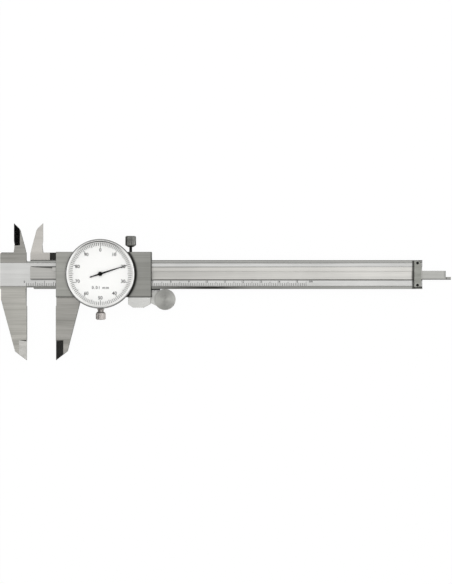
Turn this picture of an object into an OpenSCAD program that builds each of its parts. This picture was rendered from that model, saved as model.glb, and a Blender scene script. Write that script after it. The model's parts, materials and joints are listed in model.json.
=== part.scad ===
// Dial caliper with a rack-driven dial, lying on its back with the dial up
// Sizes are in millimetres
// X runs along the beam towards the depth rod, Y towards the inside jaws, Z out of the dial
// The origin is on the back face, below the dial's axis along X and on the beam's centre line

/* [Setting] */

// distance between the outside jaws
opening = 16.2; // [0:0.01:150]

/* [Beam] */

// width over the two guide edges
beam_w = 16; // [15:0.1:18]
// thickness of the beam and of the outside jaws
beam_t = 4; // [3.8:0.1:5]
// length from the fixed jaw's face to the beam's right end
beam_l = 219.5; // [212:0.1:240]
// length from the fixed jaw's face to the beam's left end
head_l = 14.7; // [14.6:0.1:18]
// width of each guide land
land_w = 1.5; // [1:0.1:1.8]
// height of the guide lands over the scale face
land_h = 0.15; // [0.05:0.05:0.3]
// width of the rack channel in the front
channel_w = 7; // [6.6:0.1:7.6]
// depth of the rack channel below the guide lands
channel_d = 1.6; // [1.5:0.05:1.8]
// length of the end plate along the beam
stop_l = 4; // [4:0.1:6]
// thickness of the end plate
stop_t = 1.1; // [0.8:0.1:1.15]

/* [Outside jaws] */

// length of the jaws below the beam
jaw_l = 39.6; // [34:0.1:50]
// width of each jaw at the top
jaw_root_w = 14.1; // [12.5:0.1:14.1]
// width of each jaw where the slanted tip starts
jaw_tip_w = 6.4; // [6:0.1:8]
// height of the slanted tip
jaw_tip_h = 5; // [3:0.1:7]
// length of the knife edges from the tip
knife_l = 10.5; // [8:0.1:14]
// width of the knife bevels
knife_w = 4.2; // [3:0.1:5]
// thickness left at the knife edges
knife_land = 0.9; // [0.5:0.1:1.5]
// setback of the jaw roots and the slide behind the measuring faces
relief = 0.3; // [0.2:0.05:0.5]
// length of the set-back roots below the beam
relief_l = 9.1; // [7:0.1:12]

/* [Inside jaws] */

// height of the inside jaws over the beam
in_l = 20.6; // [18:0.1:26]
// distance of the inside edges behind the outside faces
in_back = 7.2; // [6.9:0.1:7.3]
// width of each inside jaw at its root
in_root_w = 7.1; // [6.6:0.1:7.1]
// width of each inside jaw where its slanted tip starts
in_tip_w = 3.7; // [3:0.1:4.4]
// height of the slanted inside tip
in_tip_h = 3.9; // [3:0.1:5]
// length of the inside knife bevels
in_knife_l = 12.3; // [10:0.1:13]
// width of the inside knife bevels
in_knife_w = 3.5; // [2.8:0.1:3.6]
// height of the blocks that carry the inside jaws
block_h = 4.3; // [4:0.1:4.5]

/* [Slide] */

// distance from the moving jaw's face to the slide's right end
slide_l = 53.2; // [52:0.1:60]
// width of the slide
slide_w = 25.1; // [25:0.1:28]
// thickness of the back plate and the roller's bracket
back_t = 1.5; // [1.4:0.1:2]
// thickness of the slide's front wall
front_t = 1.2; // [1:0.1:2]
// thickness of the cover plate
cover_t = 1.5; // [1.4:0.1:2]
// thickness of the gib strip
gib_t = 0.65; // [0.5:0.05:0.8]
// clearance of the slide's running faces
run_gap = 0.05; // [0.03:0.01:0.08]

/* [Dial] */

// distance from the moving jaw's face to the dial's axis
dial_x = 25.2; // [24.2:0.1:26]
// height of the dial's axis over the beam's centre line
dial_y = 0.35; // [0.2:0.05:0.5]
// outer diameter of the bezel
bezel_d = 38.1; // [37.6:0.1:42]
// height of the bezel
bezel_h = 4.9; // [4.7:0.1:6]
// width of the bezel's lip over the crystal
lip_w = 1.15; // [0.9:0.05:1.4]
// thickness of the crystal
crystal_t = 1; // [0.8:0.1:1.2]
// thickness of the dial plate
plate_t = 0.4; // [0.3:0.05:0.5]
// length of the hand from its axis
hand_l = 15.6; // [14:0.1:16.3]
// length of the hand's tail
tail_l = 6.3; // [5:0.1:8]

/* [Movement] */

// tooth spacing of the rack
rack_pitch = 0.625; // [0.6:0.005:0.65]
// teeth of the pinion on the rack
pinion_teeth = 16; // [15:1:17]
// teeth of the two large gears
gear_teeth = 100; // [90:1:104]
// teeth of the hand's pinion
centre_teeth = 10; // [9:1:11]
// distance between the large gears and the case's wall
gear_wall_gap = 1.36; // [1.2:0.02:1.8]
// play between teeth
backlash = 0.035; // [0.03:0.005:0.05]

/* [Depth rod] */

// width of the depth rod
rod_w = 4.9; // [4:0.1:5.4]
// thickness of the depth rod
rod_t = 1.4; // [1.2:0.05:1.5]
// width of the rod's nose
nose_w = 1.5; // [1:0.1:2.5]
// length of the rod's nose
nose_l = 2.9; // [2:0.1:6]

/* [Thumb roller] */

// diameter of the roller
roller_d = 11.5; // [10:0.1:12.5]
// distance from the slide's right end to the roller's axis
roller_out = 7.4; // [7:0.1:11]
// height of the thumb rest below the slide
rest_h = 5.9; // [5:0.1:7]

/* [Hand screws] */

// distance from the lock screw to the slide's right end
lock_back = 11.75; // [9.5:0.05:16]
// diameter of the lock screw's head
lock_d = 6; // [5:0.1:6.8]
// height of the lock screw's head
lock_h = 6.2; // [5:0.1:8]
// diameter of the dial clamp's head
clamp_d = 5.5; // [4.5:0.1:6.5]
// height of the dial clamp's head
clamp_h = 4.4; // [4:0.1:6]

/* [Hidden] */

$fn = 64;

over = 1;
fit = 0.02;
turn_fit = 0.03;
press_gap = 0.01;
knurl_d = 0.12;
knurl_step = 0.04;

// places along X
slide_x = -dial_x;
beam_x = slide_x - opening;

// levels from the back face up
beam_z = back_t + run_gap;
face_z = beam_z + beam_t;
mid_z = beam_z + beam_t / 2;
wall_z = face_z + run_gap;
slide_z = wall_z + front_t;
cover_z = slide_z + cover_t;
floor_t = 0.8;
floor_z = cover_z + floor_t;
gear_t = 0.45;
gear_gap = 0.3;
gear_lift = 0.15;
gear_z = floor_z + gear_lift;
spring_z = gear_z + gear_t;
takeup_z = spring_z + gear_gap;
bridge_t = 0.8;
bridge_gap = 0.25;
bridge_z = takeup_z + gear_t + bridge_gap;
bridge_top = bridge_z + bridge_t;
head_t = 0.4;
case_low = 0.05;
case_top = bridge_top + head_t - case_low;
clip_t = 0.3;
clip_z = case_top + run_gap;
plate_z = clip_z + clip_t;
spacer_t = 1.5;
spacer_z = plate_z + plate_t;
crystal_z = spacer_z + spacer_t;
lip_t = 0.5;
bezel_top = crystal_z + crystal_t + lip_t;
bezel_z = bezel_top - bezel_h;
hand_lift = 0.5;
hand_z = spacer_z + hand_lift;
hand_t = 0.15;

// half widths of the beam and slide
edge = beam_w / 2;
half = slide_w / 2;
slip = 0.03;
gib_y = edge + slip;
channel_top = gib_y + gib_t + run_gap;
web_y = (channel_top + half) / 2;

// outlines of the jaws
jaw_tip_y = -edge - jaw_l;
relief_y = -edge - relief_l;
relief_slope = 0.5;
in_tip_y = edge + in_l;
block_y = edge + block_h;
in_notch = 0.4;
in_notch_top = 6.3;
in_gap = 0.05;
in_edge_t = 0.35;
in_lift = 0.1;
root_sink = 2;
knife_run = 0.7;
jaw_sink = 1;
gib_end = 0.4;

// radii of the bezel and the case
bezel_wall = 0.6;
bezel_r = bezel_d / 2;
bore_r = bezel_r - bezel_wall;
case_r = bore_r - run_gap;
case_wall = 1.2;
inside_r = case_r - case_wall;

// rack and gears
rack_module = rack_pitch / PI;
pinion_r = rack_module * pinion_teeth / 2;
tooth_tip = 0.6;
tooth_root = 0.85;
pressure = 20;
gear_module = 2 * (inside_r - gear_wall_gap) / (2 * gear_teeth + centre_teeth + 2 * tooth_tip);
gear_r = gear_module * gear_teeth / 2;
centre_r = gear_module * centre_teeth / 2;
gear_x = gear_r + centre_r;
gear_tip_r = gear_r + tooth_tip * gear_module;
turn_travel = rack_pitch * pinion_teeth * centre_teeth / gear_teeth;
hand_angle = 90 - 360 * opening / turn_travel;
channel_y = 0.75;
channel_hi = channel_y + channel_w / 2;
channel_lo = channel_y - channel_w / 2;
channel_start = 1.9;
ramp_l = 12;
channel_z = face_z - channel_d;
rack_t = 1.1;
rack_end_gap = 0.3;
pinion_t = 1;
pinion_z = channel_z + 0.1;
shaft_r = 0.7;
hub_r = 1.8;
arbor_r = 0.5;
pivot_r = 0.4;
bush_r = 1.6;
bush_rise = 0.2;
arbor_play = 0.1;
collet_h = 0.75;
collet_drop = 0.2;
plate_hole_r = arbor_r + 0.4;
pinion_room = 0.6;

// dial case and bezel
lip_r = bezel_r - lip_w;
wire_r = 0.25;
wire_lift = 0.7;
wire_z = bezel_z + wire_lift;
wire_fit = 0.05;
boss_r = 1.65;
boss_gap = 0.15;
boss_z = bezel_z - boss_gap - boss_r;
boss_l = 1.85;
boss_end = bezel_r + boss_l;
flare_r = 2.1;
clamp_thread_r = 0.9;
plug_r = 0.5;
plug_y = -bore_r - 0.2;

// screws
screw_d = 1.6;
screw_head = 3;
small_d = 1;
small_head = 1.7;
case_screw_d = 1.4;
case_screw_head = 2.4;
pillar_r = 1.2;
case_screw_in = 2.9;
case_screw_y = gear_tip_r + 1.7;
case_screw_x = gear_x + 1;
case_screw_at = [
    [case_screw_in - inside_r, 0],
    [case_screw_x, case_screw_y],
    [case_screw_x, -case_screw_y]
];
pillar_in = pillar_r + 0.6;
pillar_turn = 36.5;
pillar_back = -0.17 * inside_r;
pillar_y = 0.4 * inside_r;
pillar_at = [[pillar_back, pillar_y], [pillar_back, -pillar_y],
    [(inside_r - pillar_in) * cos(pillar_turn), (inside_r - pillar_in) * sin(pillar_turn)]];
cover_screw_x = 0.31 * bezel_d;
cover_screw_at = [for (x = [-cover_screw_x, cover_screw_x], y = [-web_y, web_y]) [x, y]];
stop_below = 0.9;
stop_above = 0.1;
stop_in = 0.8;
stop_lo = -edge + stop_below;
stop_hi = edge - stop_above;
stop_right = beam_l - stop_in;
stop_cut = 1.5;
end_head = 1.6;
end_screw_in = 2;
end_screw_x = stop_right - end_screw_in;
end_screw_at = [[end_screw_x, stop_hi - 1.5], [end_screw_x, stop_lo + 1.2]];
end_screw_l = stop_t + 1.6;
end_hole_l = 2;
tap_l = 2.6;
rest_tap_l = 2.2;
cover_tap_l = 1.2;
screw_short = 0.2;

// roller, bracket and thumb rest
roller_x = slide_l + roller_out;
roller_r = roller_d / 2;
roller_y = -edge - slip - roller_r;
roller_lift = 0.15;
roller_z = back_t + roller_lift;
disc_over = 0.2;
disc_gap = 0.1;
disc_t = 1.2;
disc_z = face_z + disc_gap;
disc_r = roller_r + disc_over;
stub_r = 1.5;
clip_depth = 0.55;
bracket_l = 14.6;
bracket_x = slide_l - bracket_l;
bracket_below = 0.7;
bracket_y = -edge - bracket_below;
bracket_drop = 0.56 * rest_h;
bracket_end = 0.6;
rest_back = 13.1;
rest_x = slide_l - rest_back;
rest_w = 12.4;
rest_pitch = 1.2;
rest_first = 3.3;
back_screw_in = 4.3;
back_screw_at = [[back_screw_in, web_y], [back_screw_in, -web_y], [slide_l - back_screw_in, web_y],
    [bracket_x - 1.3 * back_screw_in, -web_y]];
bracket_screw_at = [[bracket_x + 0.2 * bracket_l, -web_y], [bracket_x + 0.77 * bracket_l, -web_y],
    [rest_x + rest_w / 2, -half - 0.29 * rest_h]];

// depth rod
rod_y = -0.35;
rod_grip = 10.7;
rod_x = slide_l - rod_grip;
rod_gap = 0.1;
rod_slot_lead = 3;
rod_screw_at = [rod_x + 0.28 * rod_grip, rod_x + 0.75 * rod_grip];
rod_screw_short = 0.3;
rod_screw_l = back_t + rod_t - rod_screw_short;

// screws through the slide's upper wall
lock_x = slide_l - lock_back;
set_screw_at = [0.19 * slide_l, 0.58 * slide_l];
set_screw_r = 1;
lock_neck = 2.75;
lock_neck_r = 0.8;
lock_thread_r = 1;

// Shared shapes

// places children at the beam's or the slide's own datum
module on_beam() {
    translate([beam_x, 0, 0])
        children();
}

module on_slide() {
    translate([slide_x, 0, 0])
        children();
}

module on_dial() {
    translate([0, dial_y, 0])
        children();
}

// solid along Z between two levels
module layer(z0, z1) {
    translate([0, 0, z0])
        linear_extrude(z1 - z0)
            children();
}

// solid along Y between two places, drawn in X and Z
module along_y(y0, y1) {
    translate([0, y1, 0])
        rotate([90, 0, 0])
            linear_extrude(y1 - y0)
                children();
}

// solid along X between two places, drawn in Y and Z
module along_x(x0, x1) {
    translate([x0, 0, 0])
        rotate([90, 0, 90])
            linear_extrude(x1 - x0)
                children();
}

// puts what is drawn along +Z along +Y instead
module turn_to_y() {
    rotate([-90, 0, 0])
        children();
}

module box(x0, x1, y0, y1, z0, z1) {
    translate([x0, y0, z0])
        cube([x1 - x0, y1 - y0, z1 - z0]);
}

module ring(r_in, r_out, z0, z1) {
    layer(z0, z1)
        difference() {
            circle(r_out);
            circle(r_in);
        }
}

// countersunk screw with its flat head at z = 0 and its shank below
module sunk_screw(d, head, l) {
    slot_w = head * 0.16;
    slot_d = (head - d) * 0.3;
    difference() {
        union() {
            translate([0, 0, -l])
                cylinder(h = l, d = d);
            translate([0, 0, -(head - d) / 2])
                cylinder(h = (head - d) / 2, d1 = d, d2 = head);
        }
        box(-head, head, -slot_w / 2, slot_w / 2, -slot_d, over);
    }
}

module sunk_hole(d, head, l) {
    wide = head + 2 * fit;
    translate([0, 0, -l])
        cylinder(h = l + over, d = d + 2 * fit);
    translate([0, 0, -(head - d) / 2])
        cylinder(h = (head - d) / 2, d1 = d + 2 * fit, d2 = wide);
    cylinder(h = over, d = wide);
}

// flat-headed screw with its shank below z = 0
module head_screw(d, head, h, l) {
    difference() {
        union() {
            translate([0, 0, -l])
                cylinder(h = l, d = d);
            cylinder(h = h, d = head);
        }
        box(-head, head, -head * 0.08, head * 0.08, h * 0.5, h + over);
    }
}

// straight knurl or serration round a circle
module knurl(r, depth, teeth) {
    step = 360 / teeth;
    polygon([for (i = [0 : 2 * teeth - 1])
        let (q = i % 2 == 0 ? r : r - depth) [q * cos(i * step / 2), q * sin(i * step / 2)]]);
}

// turn of an involute from its start on the base circle to radius r
function involute_turn(base, r) =
    r <= base ? 0 : let (t = sqrt(r * r / (base * base) - 1)) t * 180 / PI - atan(t);

// flat outline of a gear with one tooth on +X
module gear(teeth, m) {
    r = teeth * m / 2;
    base = r * cos(pressure);
    top = r + tooth_tip * m;
    low = r - tooth_root * m;
    flank = base > low ? [low, base, r, top] : [low, r, top];
    half_turn = (PI * m / 2 - backlash) / 2 / r * 180 / PI + involute_turn(base, r);
    turn = [for (q = flank) half_turn - involute_turn(base, q)];
    n = len(flank);
    polygon([for (i = [0 : teeth - 1], k = [0 : 2 * n - 1])
        let (j = k < n ? k : 2 * n - 1 - k, s = k < n ? -1 : 1)
        let (a = i * 360 / teeth + s * turn[j])
        [flank[j] * cos(a), flank[j] * sin(a)]]);
}

// cut for a bevel that leaves the edge at x = 0 and reaches the surface at x = w
module bevel(w, depth) {
    rise = depth / w;
    polygon([[-over, -depth - rise * over], [w + over, rise * over], [-over, rise * over]]);
}

// outline of an outside jaw left of its measuring face
module jaw_outline(root_w, root_y, top_y) {
    polygon([
        [-root_w, top_y],
        [-root_w, root_y],
        [-jaw_tip_w, jaw_tip_y + jaw_tip_h],
        [0, jaw_tip_y],
        [0, relief_y - relief_slope],
        [-relief, relief_y],
        [-relief, top_y]
    ]);
}

// knife bevels on the front and back of an outside jaw left of its face, with sloping ends
module knife_cut() {
    depth = (beam_t - knife_land) / 2;
    end_y = jaw_tip_y + knife_l;
    lean = knife_run / depth;
    difference() {
        along_y(jaw_tip_y - over, end_y + knife_run + over)
            mirror([1, 0, 0])
                translate([0, beam_t / 2])
                    bevel(knife_w, depth);
        along_x(-knife_w - 2 * over, 2 * over)
            polygon([
                [end_y - lean * over, beam_t / 2 - depth - over],
                [end_y + knife_run + lean * over, beam_t / 2 + over],
                [end_y + knife_run + 2 * over, beam_t / 2 + over],
                [end_y + knife_run + 2 * over, beam_t / 2 - depth - over]
            ]);
    }
}

module knife_cuts() {
    translate([0, 0, mid_z]) {
        knife_cut();
        mirror([0, 0, 1])
            knife_cut();
    }
}

// outline of an inside jaw right of its knife edge, with its root on the block
module in_jaw_outline() {
    shoulder_w = 0.7;
    shoulder_h = 2.4;
    sink = 1;
    notch_l = 3.6;
    notch_in = 2;
    knee_w = 0.75;
    knee_h = 1.1;
    polygon([
        [0, in_tip_y],
        [in_tip_w - knee_w, in_tip_y - in_tip_h + knee_h],
        [in_tip_w, in_tip_y - in_tip_h],
        [in_root_w - shoulder_w, block_y + shoulder_h],
        [in_root_w, block_y - sink],
        [0, block_y - sink],
        [0, block_y],
        [in_notch, block_y + in_notch_top - notch_l],
        [in_notch, block_y + in_notch_top - notch_in],
        [0, block_y + in_notch_top]
    ]);
}

// Beam with the fixed jaws

module beam_outline() {
    foot = 0.85;
    foot_l = 3.8;
    foot_slope = 0.6;
    top_foot = 0.6;
    top_foot_l = 1.9;
    top_slope = 0.5;
    jaw_step = 0.5;
    jaw_straight = 5.75;
    in_x = in_root_w - in_back;
    difference() {
        translate([-head_l, -edge])
            square([head_l + beam_l, beam_w]);
        polygon([
            [-relief, -edge - over],
            [-relief, -edge + foot],
            [foot_l, -edge + foot],
            [foot_l + foot_slope, -edge - over]
        ]);
        polygon([
            [in_x, edge + over],
            [in_x, edge - top_foot],
            [top_foot_l, edge - top_foot],
            [top_foot_l + top_slope, edge + over]
        ]);
    }
    jaw_outline(head_l - jaw_step, -edge - jaw_straight, -edge + root_sink);
}

module fixed_inside_jaw() {
    depth = beam_t / 2 - in_gap - in_edge_t;
    block_sink = 1.2;
    block_cut = 0.8;
    difference() {
        layer(mid_z + in_gap, face_z) {
            translate([-in_back, 0])
                in_jaw_outline();
            polygon([
                [-head_l, edge - block_sink],
                [in_root_w - in_back, edge - block_sink],
                [in_root_w - in_back, block_y],
                [block_cut - head_l, block_y],
                [-head_l, block_y - block_cut]
            ]);
        }
        translate([-in_back, 0, face_z])
            along_y(in_tip_y - in_knife_l, in_tip_y + over)
                bevel(in_knife_w, depth);
    }
}

// channel that runs out to the scale face at its left end
module rack_channel() {
    scale_z = face_z - land_h;
    slope = (scale_z - channel_z) / ramp_l;
    along_y(channel_lo, channel_hi)
        polygon([
            [channel_start - over, scale_z + slope * over],
            [channel_start + ramp_l, channel_z],
            [beam_l + over, channel_z],
            [beam_l + over, face_z + over],
            [channel_start - over, face_z + over]
        ]);
}

module beam() {
    color("#b9b8b3")
        on_beam()
            difference() {
                union() {
                    layer(beam_z, face_z)
                        beam_outline();
                    fixed_inside_jaw();
                }
                knife_cuts();
                box(-head_l - over, beam_l + over, -edge + land_w, edge - land_w,
                    face_z - land_h, face_z + over);
                rack_channel();
                box(rod_x - rod_slot_lead, beam_l + over,
                    rod_y - rod_w / 2 - rod_gap, rod_y + rod_w / 2 + rod_gap,
                    beam_z - over, back_t + rod_t + rod_gap);
                for (p = end_screw_at)
                    translate([p[0], p[1], face_z - end_hole_l])
                        cylinder(h = end_hole_l + over, d = small_d + 2 * fit);
            }
}

// rack with its teeth towards -Y, a space over the pinion's axis
module rack() {
    x0 = beam_x + channel_start + ramp_l + rack_end_gap;
    x1 = beam_x + beam_l - rack_end_gap;
    line = dial_y + pinion_r;
    tip_y = line - tooth_tip * rack_module;
    root_y = line + tooth_root * rack_module;
    w = (rack_pitch / 2 - backlash) / 2;
    tip_w = w - (line - tip_y) * tan(pressure);
    root_w = w + (root_y - line) * tan(pressure);
    first = ceil((x0 - gear_x + root_w) / rack_pitch - 0.5);
    last = floor((x1 - gear_x - root_w) / rack_pitch - 0.5);
    teeth = [for (i = [first : last])
        let (c = gear_x + (i + 0.5) * rack_pitch)
        each [[c - root_w, root_y], [c - tip_w, tip_y], [c + tip_w, tip_y], [c + root_w, root_y]]];
    color("#a9a8a2")
        layer(channel_z, channel_z + rack_t)
            polygon(concat([[x0, channel_hi], [x0, root_y]], teeth, [[x1, root_y], [x1, channel_hi]]));
}

module end_plate() {
    color("#949590")
        on_beam()
            difference() {
                layer(face_z, face_z + stop_t)
                    polygon([
                        [stop_right - stop_l, stop_lo],
                        [stop_right - stop_cut, stop_lo],
                        [stop_right, stop_lo + stop_cut],
                        [stop_right, stop_hi - stop_cut],
                        [stop_right - stop_cut, stop_hi],
                        [stop_right - stop_l, stop_hi]
                    ]);
                for (p = end_screw_at)
                    translate([p[0], p[1], face_z + stop_t])
                        sunk_hole(small_d, end_head, stop_t + over);
            }
}

module end_plate_screws() {
    slot_turn = 30;
    color("#202020")
        on_beam()
            for (p = end_screw_at)
                translate([p[0], p[1], face_z + stop_t - fit])
                    rotate([0, 0, slot_turn])
                        sunk_screw(small_d, end_head, end_screw_l);
}

// Slide

module moving_inside_jaw() {
    zt = mid_z - in_gap;
    depth = beam_t / 2 - in_gap - in_edge_t;
    pocket_w = 3.4;
    pocket_d = 1;
    difference() {
        layer(beam_z, zt) {
            translate([-in_back, 0])
                mirror([1, 0])
                    in_jaw_outline();
            translate([-in_back - in_root_w, edge + in_lift])
                square([in_back + in_root_w + relief + jaw_sink, block_h - in_lift]);
        }
        translate([-in_back, 0, beam_z])
            along_y(in_tip_y - in_knife_l, in_tip_y + over)
                mirror([1, 0])
                    mirror([0, 1])
                        bevel(in_knife_w, depth);
        along_y(edge, block_y + over)
            polygon([
                [-pocket_w, zt - pocket_d],
                [relief, zt],
                [relief, zt + over],
                [-pocket_w, zt + over]
            ]);
    }
}

module slide_body() {
    color("#9c9b96")
        on_slide()
            difference() {
                union() {
                    difference() {
                        box(relief, slide_l, -half, half, back_t, slide_z);
                        box(-over, slide_l + over, -edge - run_gap, channel_top, back_t - over, wall_z);
                    }
                    mirror([1, 0, 0])
                        difference() {
                            layer(beam_z, face_z)
                                jaw_outline(jaw_root_w, -half, -half + root_sink);
                            knife_cuts();
                        }
                    moving_inside_jaw();
                }
                for (p = back_screw_at)
                    translate([p[0], p[1], back_t - over])
                        cylinder(h = tap_l + over, d = screw_d + 2 * fit);
                for (p = [bracket_screw_at[0], bracket_screw_at[1]])
                    translate([p[0], p[1], back_t - over])
                        cylinder(h = tap_l + over, d = screw_d + 2 * fit);
                for (p = cover_screw_at)
                    translate([p[0] + dial_x, p[1], slide_z - cover_tap_l])
                        cylinder(h = cover_tap_l + over, d = screw_d + 2 * fit);
                for (x = set_screw_at)
                    translate([x, channel_top - over, mid_z])
                        turn_to_y()
                            cylinder(h = half, r = set_screw_r + fit);
                translate([lock_x, channel_top - over, mid_z])
                    turn_to_y()
                        cylinder(h = half, r = lock_thread_r + turn_fit);
                translate([dial_x + gear_x, dial_y, wall_z - over])
                    cylinder(h = front_t + 2 * over, r = pinion_r + pinion_room);
            }
}

module cover_plate() {
    screw_floor = 0.1;
    color("#95958f")
        on_slide()
            difference() {
                box(relief, slide_l, -half, half, slide_z, cover_z);
                for (p = cover_screw_at)
                    translate([p[0] + dial_x, p[1], cover_z])
                        sunk_hole(screw_d, screw_head, cover_t + over);
                for (x = [0, gear_x])
                    translate([dial_x + x, dial_y, slide_z - over])
                        cylinder(h = cover_t + 2 * over, r = bush_r + fit);
                for (p = case_screw_at)
                    translate([dial_x + p[0], dial_y + p[1], slide_z + screw_floor])
                        cylinder(h = cover_t + over, d = case_screw_d + 2 * fit);
            }
}

module cover_screws() {
    color("#8a8a86")
        for (p = cover_screw_at)
            translate([p[0], p[1], cover_z - fit])
                sunk_screw(screw_d, screw_head, cover_t + cover_tap_l - screw_short);
}

module back_plate() {
    seat_gap = 0.1;
    color("#a5a49f")
        on_slide()
            difference() {
                box(relief, slide_l, -half, half, 0, back_t);
                box(bracket_x - seat_gap, slide_l + over, -half - over, bracket_y + seat_gap,
                    -over, back_t + over);
                for (p = back_screw_at)
                    translate([p[0], p[1], 0])
                        mirror([0, 0, 1])
                            sunk_hole(screw_d, screw_head, back_t + over);
                for (x = rod_screw_at)
                    translate([x, rod_y, 0])
                        mirror([0, 0, 1])
                            sunk_hole(screw_d, screw_head, back_t + over);
            }
}

module back_plate_screws() {
    color("#8a8a86")
        on_slide()
            for (p = back_screw_at)
                translate([p[0], p[1], fit])
                    mirror([0, 0, 1])
                        rotate([0, 0, p[0]])
                            sunk_screw(screw_d, screw_head, back_t + tap_l - screw_short);
}

module gib_strip() {
    color("#b08d57")
        on_slide()
            box(relief + jaw_sink + gib_end, slide_l - gib_end, gib_y, gib_y + gib_t, beam_z, face_z);
}

module gib_set_screws() {
    low = 0.5;
    l = half - gib_y - gib_t - low;
    slot_w = 0.4;
    slot_d = 0.8;
    color("#3a3a3a")
        on_slide()
            for (x = set_screw_at)
                translate([x, gib_y + gib_t + fit, mid_z])
                    turn_to_y()
                        difference() {
                            cylinder(h = l, r = set_screw_r);
                            box(-2 * over, 2 * over, -slot_w / 2, slot_w / 2, l - slot_d, l + over);
                        }
}

module depth_rod() {
    x1 = beam_l - nose_l;
    lo = rod_y - rod_w / 2;
    corner = 0.15;
    nose_step = 0.5;
    nose_drop = 0.5;
    color("#b5b5b1")
        on_slide()
            difference() {
                layer(back_t, back_t + rod_t)
                    polygon([
                        [rod_x, lo],
                        [beam_l, lo],
                        [beam_l, lo + nose_w],
                        [x1 + corner, lo + nose_w],
                        [x1, lo + nose_w + corner],
                        [x1, lo + rod_w],
                        [rod_x, lo + rod_w]
                    ]);
                box(x1 + nose_step, beam_l + over, lo - over, lo + nose_w + over,
                    back_t + rod_t - nose_drop, back_t + rod_t + over);
                for (x = rod_screw_at)
                    translate([x, rod_y, back_t - over])
                        cylinder(h = rod_t + 2 * over, d = screw_d + 2 * fit);
            }
}

module depth_rod_screws() {
    slot_turn = 20;
    color("#8a8a86")
        on_slide()
            for (x = rod_screw_at)
                translate([x, rod_y, fit])
                    mirror([0, 0, 1])
                        rotate([0, 0, slot_turn * x])
                            sunk_screw(screw_d, screw_head, rod_screw_l);
}

module thumb_rest() {
    y1 = -half - rest_h;
    flat_w = 0.8;
    slope = 0.45;
    groove = 0.5;
    grooves = 5;
    corner_l = 3;
    corner_h = 2;
    corner_mid = [1.8, 0.7];
    slant_l = 4;
    slant_h = 2.1;
    color("#d0d0cc")
        on_slide()
            difference() {
                layer(back_t, face_z)
                    polygon([
                        [rest_x, -half],
                        [rest_x, y1 + corner_h],
                        [rest_x + corner_mid[0], y1 + corner_mid[1]],
                        [rest_x + corner_l, y1],
                        [rest_x + rest_w - slant_l, y1],
                        [rest_x + rest_w, y1 + slant_h],
                        [rest_x + rest_w, -half]
                    ]);
                along_x(rest_x - over, rest_x + rest_w + over)
                    polygon([
                        [-half - flat_w, face_z],
                        [-half - flat_w, face_z + over],
                        [y1 - over, face_z + over],
                        [y1 - over, face_z - slope],
                        [y1, face_z - slope]
                    ]);
                for (i = [0 : grooves - 1])
                    translate([rest_x + rest_first + i * rest_pitch, y1, back_t - over])
                        rotate([0, 0, 45])
                            translate([-groove / 2, -groove / 2, 0])
                                cube([groove, groove, beam_t + 2 * over]);
                translate([bracket_screw_at[2][0], bracket_screw_at[2][1], back_t - over])
                    cylinder(h = rest_tap_l + over, d = screw_d + 2 * fit);
            }
}

module roller_bracket() {
    inset = 0.15;
    r = roller_r - inset;
    low = -half - bracket_drop;
    low_x = slide_l - bracket_end;
    reach = norm([low_x - roller_x, low - roller_y]);
    side = atan2(low - roller_y, low_x - roller_x) + acos(r / reach);
    inner_r = 0.98 * r;
    clip_room = 1.2;
    color("#b4b4b0")
        on_slide()
            difference() {
                union() {
                    layer(0, back_t)
                        polygon([
                            [bracket_x, bracket_y],
                            [roller_x, bracket_y],
                            [roller_x, roller_y],
                            [roller_x + inner_r * cos(side), roller_y + inner_r * sin(side)],
                            [low_x, low],
                            [rest_x + bracket_end, low],
                            [rest_x + bracket_end, -half],
                            [bracket_x, -half]
                        ]);
                    translate([roller_x, roller_y, 0])
                        cylinder(h = back_t, r = r);
                }
                translate([roller_x, roller_y, -over])
                    cylinder(h = back_t + 2 * over, r = stub_r + turn_fit);
                translate([roller_x, roller_y, -over])
                    cylinder(h = clip_depth + over, r = stub_r + clip_room);
                for (p = bracket_screw_at)
                    translate([p[0], p[1], 0])
                        mirror([0, 0, 1])
                            sunk_hole(screw_d, screw_head, back_t + over);
            }
}

module bracket_screws() {
    slot_turn = 7;
    color("#8a8a86")
        on_slide()
            for (p = bracket_screw_at)
                translate([p[0], p[1], fit])
                    mirror([0, 0, 1])
                        rotate([0, 0, slot_turn * p[0]])
                            sunk_screw(screw_d, screw_head, back_t + rest_tap_l - screw_short);
}

module edge_wiper() {
    gap = 0.06;
    h = 0.6;
    low = 0.2;
    roller_gap = 0.15;
    l = roller_x - slide_l - sqrt(pow(roller_r + roller_gap, 2) - pow(roller_y + edge + h, 2));
    color("#141414")
        on_slide()
            box(slide_l, slide_l + l, -edge - h, -edge - gap, back_t, face_z - low);
}

module thumb_roller() {
    groove = 0.25;
    groove_z = 0.15;
    stub_z = 0.1;
    dish = 0.15;
    rim = 0.25;
    teeth = 72;
    plain_r = disc_r - knurl_d - knurl_step;
    color("#9e9e9a")
        on_slide()
            translate([roller_x, roller_y, 0])
                difference() {
                    union() {
                        translate([0, 0, roller_z])
                            cylinder(h = rim, r1 = roller_r - rim, r2 = roller_r);
                        translate([0, 0, roller_z + rim])
                            cylinder(h = disc_z - roller_z - rim, r = roller_r);
                        layer(disc_z, disc_z + disc_t - rim)
                            knurl(disc_r, knurl_d, teeth);
                        translate([0, 0, disc_z + disc_t - rim])
                            cylinder(h = rim, r1 = plain_r, r2 = plain_r - rim);
                        translate([0, 0, stub_z])
                            cylinder(h = roller_z, r = stub_r);
                    }
                    ring(stub_r - groove, stub_r + over, groove_z, clip_depth + fit);
                    translate([0, 0, disc_z + disc_t - dish])
                        cylinder(h = dish, r1 = 0, r2 = plain_r - 2 * rim);
                }
}

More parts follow.
